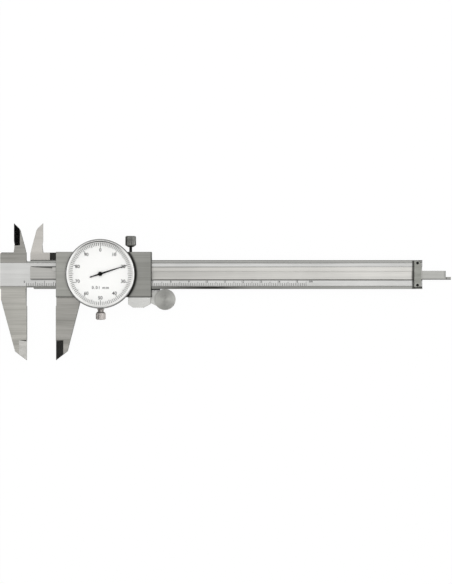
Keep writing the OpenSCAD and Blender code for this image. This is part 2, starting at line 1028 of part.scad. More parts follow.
module roller_clip() {
    grip = 0.23;
    reach = 1;
    mouth = 1.8;
    lift = 0.17;
    color("#2b2b2b")
        on_slide()
            translate([roller_x, roller_y, 0])
                difference() {
                    ring(stub_r - grip, stub_r + reach, lift, clip_depth - fit);
                    box(0, stub_r + 2 * reach, -mouth / 2, mouth / 2, -over, over);
                }
}

// screw that presses the gib on the beam, drawn along its own axis from the gib outwards
module lock_screw() {
    tip_y = gib_y + gib_t + fit;
    neck_y = half - tip_y;
    head_y = neck_y + lock_neck;
    r = lock_d / 2;
    plain_r = r - knurl_d - knurl_step;
    foot_h = 0.15 * lock_h;
    cap_h = 0.08 * lock_h;
    teeth = 36;
    color("#6b6b68")
        on_slide()
            translate([lock_x, tip_y, mid_z])
                turn_to_y() {
                    cylinder(h = neck_y, r = lock_thread_r);
                    translate([0, 0, neck_y])
                        cylinder(h = lock_neck, r = lock_neck_r);
                    translate([0, 0, head_y])
                        cylinder(h = foot_h, r1 = r * 0.5, r2 = plain_r);
                    layer(head_y + foot_h, head_y + lock_h - cap_h)
                        knurl(r, knurl_d, teeth);
                    translate([0, 0, head_y + lock_h - cap_h])
                        rotate_extrude()
                            polygon(concat([[0, 0]], [for (a = [0 : 15 : 90])
                                [plain_r - cap_h + cap_h * cos(a), cap_h * sin(a)]], [[0, cap_h]]));
                }
}

// Dial case and its movement

module dial_case() {
    boss_sink = 0.4;
    flare_gap = 0.2;
    flare_l = 0.8;
    bush_room = 0.4;
    color("#a2a29d")
        on_dial()
            difference() {
                union() {
                    ring(inside_r, case_r, floor_z, case_top);
                    translate([0, 0, cover_z])
                        cylinder(h = floor_t, r = case_r);
                    translate([0, 0, boss_z])
                        rotate([90, 0, 0]) {
                            translate([0, 0, inside_r - boss_sink])
                                cylinder(h = boss_end - inside_r + boss_sink, r = boss_r);
                            translate([0, 0, bezel_r + flare_gap])
                                cylinder(h = flare_l, r1 = flare_r, r2 = boss_r);
                        }
                }
                ring(case_r - wire_r - wire_fit, case_r + over,
                    wire_z - wire_r - wire_fit, wire_z + wire_r + wire_fit);
                for (x = [0, gear_x])
                    translate([x, 0, cover_z - over])
                        cylinder(h = floor_t + 2 * over, r = bush_r + bush_room);
                for (p = case_screw_at)
                    translate([p[0], p[1], cover_z - over])
                        cylinder(h = floor_t + 2 * over, d = case_screw_d + 2 * fit);
                for (p = pillar_at)
                    translate([p[0], p[1], cover_z - over])
                        cylinder(h = floor_t + 2 * over, d = small_d + 2 * fit);
                translate([0, 0, boss_z])
                    rotate([90, 0, 0])
                        cylinder(h = boss_end + over, r = clamp_thread_r + turn_fit);
                translate([0, plug_y, boss_z])
                    cylinder(h = boss_r + over, r = plug_r + fit);
            }
}

module case_screws() {
    color("#8a8a86")
        on_dial()
            for (p = case_screw_at)
                translate([p[0], p[1], floor_z])
                    head_screw(case_screw_d, case_screw_head, head_t, floor_t + cover_t - screw_short);
}

module lower_bushes() {
    color("#c9a24a")
        on_dial() {
            ring(pivot_r + turn_fit, bush_r, slide_z, cover_z + bush_rise);
            translate([gear_x, 0, 0])
                ring(shaft_r + turn_fit, bush_r, slide_z, cover_z + bush_rise);
        }
}

module bridge_pillars() {
    color("#c9a24a")
        on_dial()
            for (p = pillar_at)
                translate([p[0], p[1], 0])
                    ring(small_d / 2 + fit, pillar_r, floor_z, bridge_z);
}

module movement_bridge() {
    rim = 0.6;
    bush_rim = 0.9;
    tail = [gear_x + 1, -2];
    color("#c8a95a")
        on_dial()
            difference() {
                layer(bridge_z, bridge_top) {
                    polygon([pillar_at[0], pillar_at[1], tail, pillar_at[2]]);
                    for (p = pillar_at)
                        translate(p)
                            circle(pillar_r + rim);
                    translate([gear_x, 0])
                        circle(bush_r + bush_rim);
                }
                for (x = [0, gear_x])
                    translate([x, 0, bridge_z - over])
                        cylinder(h = bridge_t + 2 * over, r = bush_r + fit);
                for (p = pillar_at)
                    translate([p[0], p[1], bridge_z - over])
                        cylinder(h = bridge_t + 2 * over, d = small_d + 2 * fit);
            }
}

module bridge_screws() {
    head_low = 0.1;
    color("#8a8a86")
        on_dial()
            for (p = pillar_at)
                translate([p[0], p[1], bridge_top])
                    head_screw(small_d, small_head, head_t - head_low, bridge_top - cover_z - screw_short);
}

module upper_bushes() {
    color("#c9a24a")
        on_dial() {
            ring(arbor_r + turn_fit, bush_r, bridge_z, bridge_top);
            translate([gear_x, 0, 0])
                ring(shaft_r + turn_fit, bush_r, bridge_z, bridge_top);
        }
}

// sprung wire that keeps the bezel on the case and lets it turn
module bezel_spring() {
    start = 105;
    sweep = 330;
    color("#777773")
        on_dial()
            rotate([0, 0, start])
                rotate_extrude(angle = sweep)
                    translate([case_r + run_gap / 2, wire_z])
                        circle(wire_r);
}

// plug that the dial clamp pushes against the bezel's lower rim
module brake_plug() {
    gap = 0.05;
    lift = clamp_thread_r + gap;
    color("#c9a24a")
        on_dial()
            translate([0, plug_y, boss_z + lift])
                cylinder(h = bezel_z - boss_z - lift - gap, r = plug_r);
}

module clamp_screw() {
    r = clamp_d / 2;
    flutes = 10;
    flute_r = 0.5;
    flute_d = 0.2;
    plain_r = r - flute_d - knurl_step;
    tip_in = 0.2;
    head_gap = 0.05;
    tip = case_r - tip_in;
    head = boss_end + head_gap;
    foot_h = 0.2 * clamp_h;
    end_h = 0.1 * clamp_h;
    end_in = 0.5;
    color("#b5b1ae")
        on_dial()
            translate([0, 0, boss_z])
                rotate([90, 0, 0]) {
                    translate([0, 0, tip])
                        cylinder(h = head - tip, r = clamp_thread_r);
                    translate([0, 0, head])
                        rotate_extrude()
                            polygon(concat(
                                [[0, 0]],
                                [for (a = [0 : 15 : 90])
                                    [boss_r + (plain_r - boss_r) * sin(a), foot_h * (1 - cos(a))]],
                                [[0, foot_h]]
                            ));
                    layer(head + foot_h, head + clamp_h - end_h)
                        difference() {
                            circle(r);
                            for (i = [0 : flutes - 1])
                                rotate(90 + i * 360 / flutes)
                                    translate([r - flute_d + flute_r, 0])
                                        circle(flute_r);
                        }
                    translate([0, 0, head + clamp_h - end_h])
                        cylinder(h = end_h, r1 = plain_r, r2 = r - end_in);
                }
}

// Gears

module pinion_shaft() {
    color("#8f8f8b")
        on_dial()
            translate([gear_x, 0, 0]) {
                layer(pinion_z, pinion_z + pinion_t)
                    rotate(90)
                        gear(pinion_teeth, rack_module);
                translate([0, 0, pinion_z + pinion_t])
                    cylinder(h = bridge_top - pinion_z - pinion_t, r = shaft_r);
            }
}

module drive_gear() {
    color("#d0ac55")
        on_dial()
            translate([gear_x, 0, 0])
                union() {
                    layer(gear_z, spring_z)
                        difference() {
                            rotate(180)
                                gear(gear_teeth, gear_module);
                            circle(shaft_r + press_gap);
                        }
                    ring(shaft_r + press_gap, hub_r, spring_z, takeup_z + gear_t);
                }
}

module takeup_gear() {
    color("#c79f45")
        on_dial()
            translate([gear_x, 0, 0])
                layer(takeup_z, takeup_z + gear_t)
                    difference() {
                        rotate(180)
                            gear(gear_teeth, gear_module);
                        circle(hub_r + turn_fit);
                    }
}

// split ring spring that turns the two gears apart to take up the play
module takeup_spring() {
    r = (hub_r + gear_r) / 2;
    w = 0.5;
    mouth = 1.6;
    color("#777773")
        on_dial()
            translate([gear_x, 0, 0])
                layer(spring_z, takeup_z)
                    difference() {
                        circle(r);
                        circle(r - w);
                        translate([0, -mouth / 2])
                            square([r + over, mouth]);
                    }
}

module centre_arbor() {
    pinion_end = takeup_z + gear_t + arbor_play;
    grip = 0.35;
    color("#8f8f8b")
        on_dial() {
            translate([0, 0, slide_z + arbor_play])
                cylinder(h = gear_z - slide_z - 2 * arbor_play, r = pivot_r);
            layer(gear_z - arbor_play, pinion_end)
                rotate(180 / centre_teeth)
                    gear(centre_teeth, gear_module);
            translate([0, 0, pinion_end])
                cylinder(h = hand_z + grip - pinion_end, r = arbor_r);
        }
}

module hand() {
    collet_r = 1.2;
    bore_l = 0.55;
    root_w = 1;
    tip_w = 0.24;
    spear_l = 0.9;
    spear_w = 0.9;
    waist_l = 1.6;
    waist_w = 0.5;
    color("#0d0d0d")
        on_dial()
            rotate([0, 0, hand_angle])
                difference() {
                    union() {
                        layer(hand_z, hand_z + hand_t)
                            polygon([
                                [-tail_l, 0],
                                [spear_l - tail_l, -spear_w / 2],
                                [waist_l - tail_l, -waist_w / 2],
                                [0, -root_w / 2],
                                [hand_l, -tip_w / 2],
                                [hand_l, tip_w / 2],
                                [0, root_w / 2],
                                [waist_l - tail_l, waist_w / 2],
                                [spear_l - tail_l, spear_w / 2]
                            ]);
                        translate([0, 0, hand_z - collet_drop])
                            cylinder(h = collet_h, r = collet_r);
                    }
                    translate([0, 0, hand_z - collet_drop - over])
                        cylinder(h = bore_l + over, r = arbor_r + press_gap);
                }
}

// Bezel with what turns with it

module bezel() {
    rim_r = bezel_r - knurl_step;
    foot_r = rim_r - knurl_d - knurl_step;
    foot_in = 0.2;
    foot_h = 0.3;
    teeth = 150;
    knurl_z = bezel_z + 1.15;
    knurl_top = bezel_top - 1.8;
    groove_lo = wire_z - wire_r - wire_fit;
    groove_hi = wire_z + wire_r + wire_fit;
    round_r = 0.6;
    slope_w = 0.4;
    slope_h = 0.09;
    color("#d8d8d4")
        on_dial() {
            rotate_extrude()
                polygon([
                    [bore_r, bezel_z],
                    [foot_r - foot_in, bezel_z],
                    [foot_r, bezel_z + foot_h],
                    [foot_r, knurl_z],
                    [bore_r, knurl_z],
                    [bore_r, groove_hi],
                    [bore_r + wire_r, groove_hi],
                    [bore_r + wire_r, groove_lo],
                    [bore_r, groove_lo]
                ]);
            layer(knurl_z, knurl_top)
                difference() {
                    knurl(rim_r, knurl_d, teeth);
                    circle(bore_r);
                }
            rotate_extrude()
                polygon(concat([[bore_r, knurl_top], [bezel_r, knurl_top]],
                    [for (a = [0 : 15 : 90])
                        [bezel_r + round_r * (cos(a) - 1), bezel_top + round_r * (sin(a) - 1)]],
                    [[lip_r + slope_w, bezel_top], [lip_r, bezel_top - slope_h],
                        [lip_r, bezel_top - lip_t], [bore_r, bezel_top - lip_t]]));
        }
}

module crystal() {
    color("#e8f0f4", 0.4)
        on_dial()
            translate([0, 0, crystal_z])
                cylinder(h = crystal_t, r = case_r);
}

module spacer_ring() {
    color("#e6e6e2")
        on_dial()
            ring(lip_r, case_r, spacer_z, crystal_z);
}

module dial_plate() {
    color("#fbfbf8")
        on_dial()
            ring(plate_hole_r, case_r, plate_z, plate_z + plate_t);
}

module dial_clip() {
    w = 0.8;
    mouth = 4;
    mouth_turn = 120;
    color("#777773")
        on_dial()
            layer(clip_z, plate_z)
                difference() {
                    circle(case_r);
                    circle(case_r - w);
                    rotate(mouth_turn)
                        translate([0, -mouth / 2])
                            square([case_r + over, mouth]);
                }
}

beam();
rack();
end_plate();
end_plate_screws();
slide_body();
cover_plate();
cover_screws();
back_plate();
back_plate_screws();
gib_strip();
gib_set_screws();
depth_rod();
depth_rod_screws();
thumb_rest();
roller_bracket();
bracket_screws();
edge_wiper();
thumb_roller();
roller_clip();
lock_screw();
dial_case();
case_screws();
lower_bushes();
bridge_pillars();
movement_bridge();
bridge_screws();
upper_bushes();
bezel_spring();
brake_plug();
clamp_screw();
pinion_shaft();
drive_gear();
takeup_gear();
takeup_spring();
centre_arbor();
hand();
bezel();
crystal();
spacer_ring();
dial_plate();
dial_clip();
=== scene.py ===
"""Dial caliper in a plain studio, seen from straight above with its dial up."""
import json
import math

import bmesh
import bpy
from mathutils import Matrix, Vector


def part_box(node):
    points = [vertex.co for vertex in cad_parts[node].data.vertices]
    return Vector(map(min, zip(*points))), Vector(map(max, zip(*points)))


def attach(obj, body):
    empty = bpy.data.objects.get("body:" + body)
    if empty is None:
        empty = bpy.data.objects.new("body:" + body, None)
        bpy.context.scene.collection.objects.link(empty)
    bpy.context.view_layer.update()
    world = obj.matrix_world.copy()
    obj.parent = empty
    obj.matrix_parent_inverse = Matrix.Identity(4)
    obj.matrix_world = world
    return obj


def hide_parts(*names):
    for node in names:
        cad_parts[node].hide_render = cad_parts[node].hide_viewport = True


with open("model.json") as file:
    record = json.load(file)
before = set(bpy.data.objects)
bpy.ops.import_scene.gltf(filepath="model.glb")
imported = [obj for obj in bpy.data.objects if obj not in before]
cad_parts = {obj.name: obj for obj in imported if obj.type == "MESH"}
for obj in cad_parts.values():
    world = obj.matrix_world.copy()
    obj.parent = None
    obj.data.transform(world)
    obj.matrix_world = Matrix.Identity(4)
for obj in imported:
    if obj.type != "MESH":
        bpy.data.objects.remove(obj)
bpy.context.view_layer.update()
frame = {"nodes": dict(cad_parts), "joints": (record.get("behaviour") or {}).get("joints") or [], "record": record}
NODES = frame["nodes"]
MOUNTS = {mount["name"]: mount["pos_m"] for mount in frame["record"]["mounts"]}
AXES = {joint["name"]: joint.get("pos_m") for joint in frame["joints"]}
scene = bpy.context.scene
MM = 0.001


def limit(node, side):
    """Where a CAD node ends on one side, such as "+x" or "-z", in millimetres."""
    low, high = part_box(node)
    corner = high if side[0] == "+" else low
    return round(corner["xyz".index(side[1])] / MM, 4)


# Places of the part in its own frame, in millimetres
ZERO_X = MOUNTS["fixed_jaw_face"][0] / MM     # face of the fixed jaw and zero of the scale
JAW_X = MOUNTS["moving_jaw_face"][0] / MM     # face of the moving jaw
EDGE_Y = 8.0                                  # half the beam's width
LAND_Y = 6.5                                  # inner edges of the guide lands
BEAM_END = limit("beam", "+x")                # right end of the beam
PLATE_X = limit("end_plate", "-x")            # left edge of the end plate
SCALE_Z = 5.40                                # scale face between the lands
CHANNEL_Z = limit("rack", "-z")               # floor of the rack channel
CHANNEL_Y = (-2.75, limit("rack", "+y"))      # walls of the channel, the rack against the upper one
INSIDE_Z = 3.50                               # front of the moving inside jaw
BLOCK_Y = 12.3                                # top of the block that carries an inside jaw
DIAL_Y = AXES["bezel_turn"][1] / MM           # axis of the dial
PLATE_Z = limit("dial_plate", "+z")           # face of the dial plate
CASE_R = limit("dial_plate", "+x")            # outside of the dial plate and of the dial case
ROLLER = [c / MM for c in AXES["roller_turn"][:2]]
LOCK_HEAD_Y = 15.3                            # where the lock screw's neck meets its head
ROD_Z = limit("depth_rod", "+z")              # front of the depth rod
ROD_NOSE_Y = -1.3                             # the rod's nose lies below this
ROD_STEP_X = 191.0                            # step before the rod's nose
UNDER_SLIDE = (-24.0, 28.0)                   # stretch of the beam that the slide covers
CHANNEL_START = (-39.6, -38.6)                # where the channel begins, beside the fixed jaw
INK = 0.012                                   # thickness of printed and filled marks

# Looks
GLOSS = 1.2           # brightness overhead for gloss, so that a ground flat shows its colour as written
RING_R = 4.0          # radius in millimetres at which a turned face's lines have their stated length
HANDLING = 14.0       # size in millimetres of finger marks, which change the gloss a little
SKIN_SPAN = 0.12      # how far the roughness of paint, rubber or black steel varies

# How a face or an edge is told by its normal
LEVEL = 0.97          # a face that rises this much is level
FRONT = 0.3           # a face or an edge that rises this much is on the front
ALONG = 0.6           # an edge that leans this much along an axis faces that way
KNIFE_AREA = 3.0      # a sideways slope larger than this, in square millimetres, is a knife bevel


def linear(code):
    """Linear colour of an sRGB hex value."""
    parts = [int(code[i:i + 2], 16) / 255 for i in (1, 3, 5)]
    return [c / 12.92 if c <= 0.04045 else ((c + 0.055) / 1.055) ** 2.4 for c in parts] + [1.0]


def add(tree, kind, inputs=(), **settings):
    """Adds a node with its settings, and sets or links its inputs."""
    made = tree.nodes.new(kind)
    for key, value in settings.items():
        setattr(made, key, value)
    for key, value in dict(inputs).items():
        socket = made.inputs[key]
        if isinstance(value, bpy.types.NodeSocket):
            tree.links.new(value, socket)
        else:
            socket.default_value = value
    return made


def new_material(name):
    """Starts a material, and gives it with its empty tree."""
    made = bpy.data.materials.new(name)
    made.use_nodes = True
    made.node_tree.nodes.clear()
    return made, made.node_tree


def worked_metal(name, dark, light, rough, line, length, rough_span=0.10, bump=0.2,
                 axis=None, fan=0.0, level=False, film=None):
    """Metal with fine tool lines along X, or round an axis (x, y) if one is given.

    line is the spacing and length the run of the lines in millimetres. Real lines lie about
    0.05 apart, which is too fine to show, so they are drawn several times as coarse. dark and
    light are the ends of the colour that the lines and the larger streaks move between. fan is
    how far the rings of a turned face spread its gloss. level leaves height out of the pattern,
    for a slope that was cut with one tool. film gives the share of a darker film on the metal,
    and its colour; most such films are painted shade.
    """
    made, tree = new_material(name)
    place = add(tree, "ShaderNodeTexCoord").outputs["Object"]
    grain = place
    steps = (length, line, line)
    if axis:
        centre = (-axis[0] * MM, -axis[1] * MM, 0)
        about = add(tree, "ShaderNodeMapping", {"Vector": place, "Location": centre})
        flat = add(tree, "ShaderNodeVectorMath", {0: about.outputs[0], 1: (1, 1, 0)}, operation="MULTIPLY")
        reach = add(tree, "ShaderNodeVectorMath", {0: flat.outputs[0]}, operation="LENGTH")
        aim = add(tree, "ShaderNodeVectorMath", {0: flat.outputs[0]}, operation="NORMALIZE")
        ring = add(tree, "ShaderNodeVectorMath", {0: aim.outputs[0], "Scale": RING_R * MM},
                   operation="SCALE")
        rise = add(tree, "ShaderNodeCombineXYZ", {"Z": reach.outputs["Value"]})
        grain = add(tree, "ShaderNodeVectorMath", {0: ring.outputs[0], 1: rise.outputs[0]}).outputs[0]
        steps = (length, length, line)
    scale = [1 / (step * MM) for step in steps]
    if level:
        scale[2] = 0.0
    fine = add(tree, "ShaderNodeMapping", {"Vector": grain, "Scale": scale})
    lines = add(tree, "ShaderNodeTexNoise", {"Vector": fine.outputs[0], "Scale": 1.0, "Detail": 3.0,
                                             "Roughness": 0.65})
    # streaks about three times as long as the lines and seven times as wide
    broad_scale = [c * (0.3 if c == scale[0] else 0.14) for c in scale]
    broad = add(tree, "ShaderNodeMapping", {"Vector": grain, "Location": (3.1, 1.7, 0.4),
                                            "Scale": broad_scale})
    streaks = add(tree, "ShaderNodeTexNoise", {"Vector": broad.outputs[0], "Scale": 1.0, "Detail": 2.0})
    both = add(tree, "ShaderNodeMath", {0: lines.outputs["Fac"], 1: streaks.outputs["Fac"]}, operation="ADD")
    share = add(tree, "ShaderNodeMapRange", {"Value": both.outputs[0], "From Min": 0.72, "From Max": 1.28})
    colour = add(tree, "ShaderNodeMix", {"Factor": share.outputs[0], "A": linear(dark), "B": linear(light)},
                 data_type="RGBA").outputs["Result"]
    if film:
        cover, tone = film(tree, add(tree, "ShaderNodeSeparateXYZ", {"Vector": place}).outputs)
        colour = add(tree, "ShaderNodeMix", {"Factor": cover, "A": colour, "B": linear(tone)},
                     data_type="RGBA").outputs["Result"]
    marks = add(tree, "ShaderNodeTexNoise", {"Vector": place, "Scale": 1 / (HANDLING * MM), "Detail": 2.0})
    mixed = add(tree, "ShaderNodeMath", {0: marks.outputs["Fac"], 1: lines.outputs["Fac"]}, operation="ADD")
    gloss = add(tree, "ShaderNodeMapRange", {"Value": mixed.outputs[0], "From Min": 0.7, "From Max": 1.3,
                                             "To Min": rough - rough_span / 2,
                                             "To Max": rough + rough_span / 2})
    relief = add(tree, "ShaderNodeBump", {"Height": lines.outputs["Fac"], "Strength": bump,
                                          "Distance": 0.01 * MM})
    shader = add(tree, "ShaderNodeBsdfPrincipled", {"Base Color": colour, "Metallic": 1.0,
                                                    "Roughness": gloss.outputs[0],
                                                    "Normal": relief.outputs[0]})
    if axis:
        # the rings of a turned face spread its gloss outwards, so the tangent is turned a quarter
        shader.inputs["Anisotropic"].default_value = fan
        shader.inputs["Anisotropic Rotation"].default_value = 0.25
        round_axis = add(tree, "ShaderNodeTangent", direction_type="RADIAL", axis="Z")
        tree.links.new(round_axis.outputs[0], shader.inputs["Tangent"])
    add(tree, "ShaderNodeOutputMaterial", {"Surface": shader.outputs[0]})
    return made


def solid_finish(name, dark, light, rough, grain, metallic=0.0, bump=0.1, shine=0.5):
    """Paint, rubber or black steel: an even skin with a small grain, given in millimetres."""
    made, tree = new_material(name)
    where = add(tree, "ShaderNodeTexCoord").outputs["Object"]
    skin = add(tree, "ShaderNodeTexNoise", {"Vector": where, "Scale": 1 / (grain * MM), "Detail": 3.0,
                                            "Roughness": 0.6})
    tint = add(tree, "ShaderNodeMix", {"Factor": skin.outputs["Fac"], "A": linear(dark), "B": linear(light)},
               data_type="RGBA")
    gloss = add(tree, "ShaderNodeMapRange", {"Value": skin.outputs["Fac"], "From Min": 0.3, "From Max": 0.7,
                                             "To Min": rough - SKIN_SPAN / 2,
                                             "To Max": rough + SKIN_SPAN / 2})
    relief = add(tree, "ShaderNodeBump", {"Height": skin.outputs["Fac"], "Strength": bump,
                                          "Distance": 0.02 * MM})
    shader = add(tree, "ShaderNodeBsdfPrincipled", {"Base Color": tint.outputs["Result"],
                                                    "Metallic": metallic, "Specular IOR Level": shine,
                                                    "Roughness": gloss.outputs[0],
                                                    "Normal": relief.outputs[0]})
    add(tree, "ShaderNodeOutputMaterial", {"Surface": shader.outputs[0]})
    return made


def graded(tree, *stretches, unit=MM):
    """Product of levels that each move evenly between two places.

    A stretch is (value, start, end, level at the start, level at the end). Its places are in
    millimetres unless another unit is given.
    """
    product = None
    for value, start, end, at_start, at_end in stretches:
        level = add(tree, "ShaderNodeMapRange", {"Value": value, "From Min": start * unit,
                                                 "From Max": end * unit, "To Min": at_start,
                                                 "To Max": at_end}).outputs[0]
        if product:
            level = add(tree, "ShaderNodeMath", {0: product, 1: level}, operation="MULTIPLY").outputs[0]
        product = level
    return product


def most(tree, *shares):
    """The greatest of several shares, place by place."""
    greatest = shares[0]
    for share in shares[1:]:
        greatest = add(tree, "ShaderNodeMath", {0: greatest, 1: share}, operation="MAXIMUM").outputs[0]
    return greatest


# Darker films on the steel, most of them painted shade, each as its share and its colour

def swept(tree, at, share):
    """A film's share with a painted shadow on the beam at the end plate's left edge, fainter under the plate."""
    plate_shadow = graded(tree, (at["X"], PLATE_X - 1.1, PLATE_X - 0.8, 0.0, 0.78),
                  (at["X"], PLATE_X + 0.2, PLATE_X + 1.8, 1.0, 0.4))
    return most(tree, share, plate_shadow)


def cover_film(tree, at):
    """Painted shadow round the foot of the dial case, least on the left, and painted shade that darkens the cover
    towards the right.
    """
    out = add(tree, "ShaderNodeMath", {0: at["Y"], 1: DIAL_Y * MM}, operation="SUBTRACT")
    flat = add(tree, "ShaderNodeCombineXYZ", {"X": at["X"], "Y": out.outputs[0]})
    reach = add(tree, "ShaderNodeVectorMath", {0: flat.outputs[0]}, operation="LENGTH").outputs["Value"]
    painted_shadow = graded(tree, (reach, CASE_R + 1.1, CASE_R + 2.3, 0.94, 0.0), (at["X"], -17, -5, 0.2, 1.0))
    rightward_shade = graded(tree, (at["X"], -6, 26, 0.0, 0.20))
    return most(tree, painted_shadow, rightward_shade), "#1c1c1a"


def channel_film(tree, at):
    """Painted shadow under the channel's walls, wider where they are deeper, and less towards the far end."""
    low, high = CHANNEL_Y
    depth = add(tree, "ShaderNodeMath", {0: SCALE_Z * MM, 1: at["Z"]}, operation="SUBTRACT")
    share = graded(tree, (at["X"], 20, 170, 0.32, 0.0))
    for wall, spread in ((high, 0.80), (low, 0.06)):
        gap = add(tree, "ShaderNodeMath", {0: at["Y"], 1: wall * MM}, operation="SUBTRACT")
        away = add(tree, "ShaderNodeMath", {0: gap.outputs[0]}, operation="ABSOLUTE")
        ratio = add(tree, "ShaderNodeMath", {0: away.outputs[0], 1: depth.outputs[0]}, operation="DIVIDE")
        painted_shadow = graded(tree, (ratio.outputs[0], 0.5 * spread, spread, 0.88, 0.0), unit=1)
        share = most(tree, share, painted_shadow)
    # painted shade in the lower corner of the ramp at the channel's left end
    corner = graded(tree, (at["Y"], low + 0.45, low + 0.65, 0.95, 0.0), (at["X"], -15, 0, 1.0, 0.0))
    return swept(tree, at, most(tree, share, corner)), "#40403c"


def rack_film(tree, at):
    """A thin darkening of the rack with a painted shadow line along the channel's wall, less towards the far end.
    """
    share = graded(tree, (at["Y"], 3.4, 4.0, 0.24, 0.50), (at["X"], 30, 160, 1.0, 0.0))
    return swept(tree, at, share), "#40403c"


def scale_film(tree, at):
    """Dark lines at the feet of the lands, and painted shade along the channel's edges, the upper one most at the
    left.
    """
    low, high = CHANNEL_Y
    x, y = at["X"], at["Y"]
    upper_foot = graded(tree, (y, LAND_Y - 0.65, LAND_Y - 0.15, 0.0, 0.42), (x, -30, 28, 0.0, 1.0),
                        (x, 120, 170, 1.0, 0.3))
    lower_foot = graded(tree, (y, -LAND_Y + 0.1, -LAND_Y + 0.5, 0.42, 0.0))
    upper_edge = graded(tree, (x, *UNDER_SLIDE, 0.85, 0.24), (x, *CHANNEL_START, 0.0, 1.0),
                        (x, 110, 160, 1.0, 0.0), (y, high - 0.1, high, 0.0, 1.0),
                        (y, high + 0.3, high + 0.5, 1.0, 0.0))
    lower_edge = graded(tree, (x, *UNDER_SLIDE, 0.35, 0.93), (x, *CHANNEL_START, 0.0, 1.0),
                        (y, low - 0.55, low - 0.45, 0.0, 1.0), (y, low, low + 0.1, 1.0, 0.0))
    return swept(tree, at, most(tree, upper_foot, lower_foot, upper_edge, lower_edge)), "#2e2e2b"


def root_film(tree, at):
    """A faint darkening on the block below the inside jaw."""
    return graded(tree, (at["Y"], BLOCK_Y - 1.0, BLOCK_Y + 1.0, 0.14, 0.0)), "#40403c"


def land_film(tree, at):
    """Painted shade on the lower land, most past the roller, and painted shade at the edges."""
    x, y = at["X"], at["Y"]
    lower_land_shade = graded(tree, (y, -6.4, -5.4, 1.0, 0.13), (x, 24, 57, 0.42, 0.95), (x, 64, 84, 1.0, 0.42),
                   (x, 95, 150, 1.0, 0.12))
    outer = graded(tree, (y, EDGE_Y - 0.55, EDGE_Y - 0.35, 0.0, 0.75), (x, 100, 130, 1.0, 0.6))
    # black painted shadow under the end plate's upper and lower edges
    under = (x, PLATE_X - 0.5, PLATE_X - 0.2, 0.0, 1.0)
    above = graded(tree, (y, EDGE_Y - 0.60, EDGE_Y - 0.40, 0.0, 0.95), under)
    below = graded(tree, (y, -EDGE_Y + 0.25, -EDGE_Y + 0.45, 0.2, 0.95),
                   (y, -EDGE_Y + 1.0, -EDGE_Y + 1.2, 1.0, 0.0), under)
    return swept(tree, at, most(tree, lower_land_shade, outer, above, below)), "#262623"


def rod_film(tree, at):
    """A faint darkening of the rod's lower half, painted shade on the nose past the step, and a black line along
    its lower edge.
    """
    thin = graded(tree, (at["Y"], -2.2, ROD_NOSE_Y, 0.2, 0.0))
    line = graded(tree, (at["Y"], -2.50, -2.35, 0.95, 0.0))
    nose = graded(tree, (at["X"], ROD_STEP_X - 1.0, ROD_STEP_X, 0.0, 0.3))
    return most(tree, thin, nose, line), "#1c1c1a"


# Hardened stainless steel, surface ground along X: grey with lines that run across the fixed jaw
ground_steel = worked_metal("ground_stainless_jaw", "#95948e", "#b8b6b0", 0.34, 0.35, 22)
# The same steel a shade darker on the slide's jaw and on the block of the fixed inside jaw
slide_steel = worked_metal("ground_stainless_slide", "#85847f", "#a6a49f", 0.34, 0.35, 22)
# Sides of the ground pieces, left as milled and a little oily
milled_side = worked_metal("milled_sides", "#83827e", "#a3a29d", 0.40, 0.30, 10)
# Edges broken with a stone, smooth enough to go dark against the room
stoned_edge = worked_metal("stoned_edges", "#6e6d6a", "#8c8b87", 0.22, 0.20, 6, rough_span=0.05, bump=0.05)
# Black painted shade in the pocket, on the channel's walls and along some broken edges
painted_shade_steel = solid_finish("dark_steel_painted_shade", "#242422", "#3b3b37", 0.45, 0.30, metallic=0.4)
# Stainless steel ground finer on the cover, a flat middle grey
cover_steel = worked_metal("satin_ground_cover", "#8f8f8a", "#a2a29d", 0.32, 0.22, 30, bump=0.12,
                           film=cover_film)
# The slide's back plate, ground as the cover is
back_steel = worked_metal("satin_ground_back", "#8a8a85", "#a4a49f", 0.34, 0.28, 30, bump=0.15)
# Satin chrome of the scale face, pale and dull so that the marks read without glare
satin_chrome = worked_metal("satin_chrome_scale", "#cacac8", "#d8d8d6", 0.42, 0.25, 12, bump=0.08,
                            film=scale_film)
# Lapped guide lands, smooth, with painted shade on the lower land past the roller and at the edges
lapped_land = worked_metal("lapped_guide_lands", "#8a8b88", "#a9a9a5", 0.22, 0.30, 60, bump=0.1,
                           film=land_film)
# Milled floor of the rack channel with long feed lines
milled_channel = worked_metal("milled_channel_floor", "#c6c5c1", "#e2e0db", 0.36, 0.45, 60, level=True,
                              film=channel_film)
# Rack milled from the same bar, with the same long lines
rack_steel = worked_metal("milled_rack", "#c8c7c3", "#e1dfda", 0.36, 0.45, 60, film=rack_film)
# Lapped flat of the moving inside jaw, paler than the rest of the slide
lapped_jaw = worked_metal("lapped_inside_jaw", "#b3b0ab", "#c0bdb8", 0.32, 0.30, 16, bump=0.1, film=root_film)
# Knife bevels, finely ground and nearly mirror, so they go black or bright with the room
knife_steel = worked_metal("ground_knife_bevels", "#a6a5a1", "#bcbbb7", 0.12, 0.20, 8, rough_span=0.04,
                           bump=0.05)
# Plated thumb rest, bright and fairly smooth
plated_rest = worked_metal("plated_thumb_rest", "#c2c2bf", "#d3d3d0", 0.26, 0.40, 4, bump=0.12)
# Plated bracket of the roller, rougher and more streaked
plated_bracket = worked_metal("plated_bracket", "#bfbfbc", "#dcdcd8", 0.36, 0.40, 8)
# Roller with a turned face: fine rings that make the light fan out from the centre
turned_roller = worked_metal("turned_roller_face", "#bebeb9", "#d5d5d0", 0.46, 0.22, 9, bump=0.15,
                             axis=ROLLER, fan=1.0)
# Cold-drawn strip of the depth rod, with long faint lines
drawn_steel = worked_metal("drawn_steel_strip", "#a8a8a4", "#c0c0bc", 0.34, 0.40, 40, bump=0.15,
                           film=rod_film)
# Matt chrome of the end plate, darker than the scale face
stop_steel = worked_metal("matt_end_plate", "#8e8f89", "#a6a7a1", 0.42, 0.35, 6, bump=0.15)
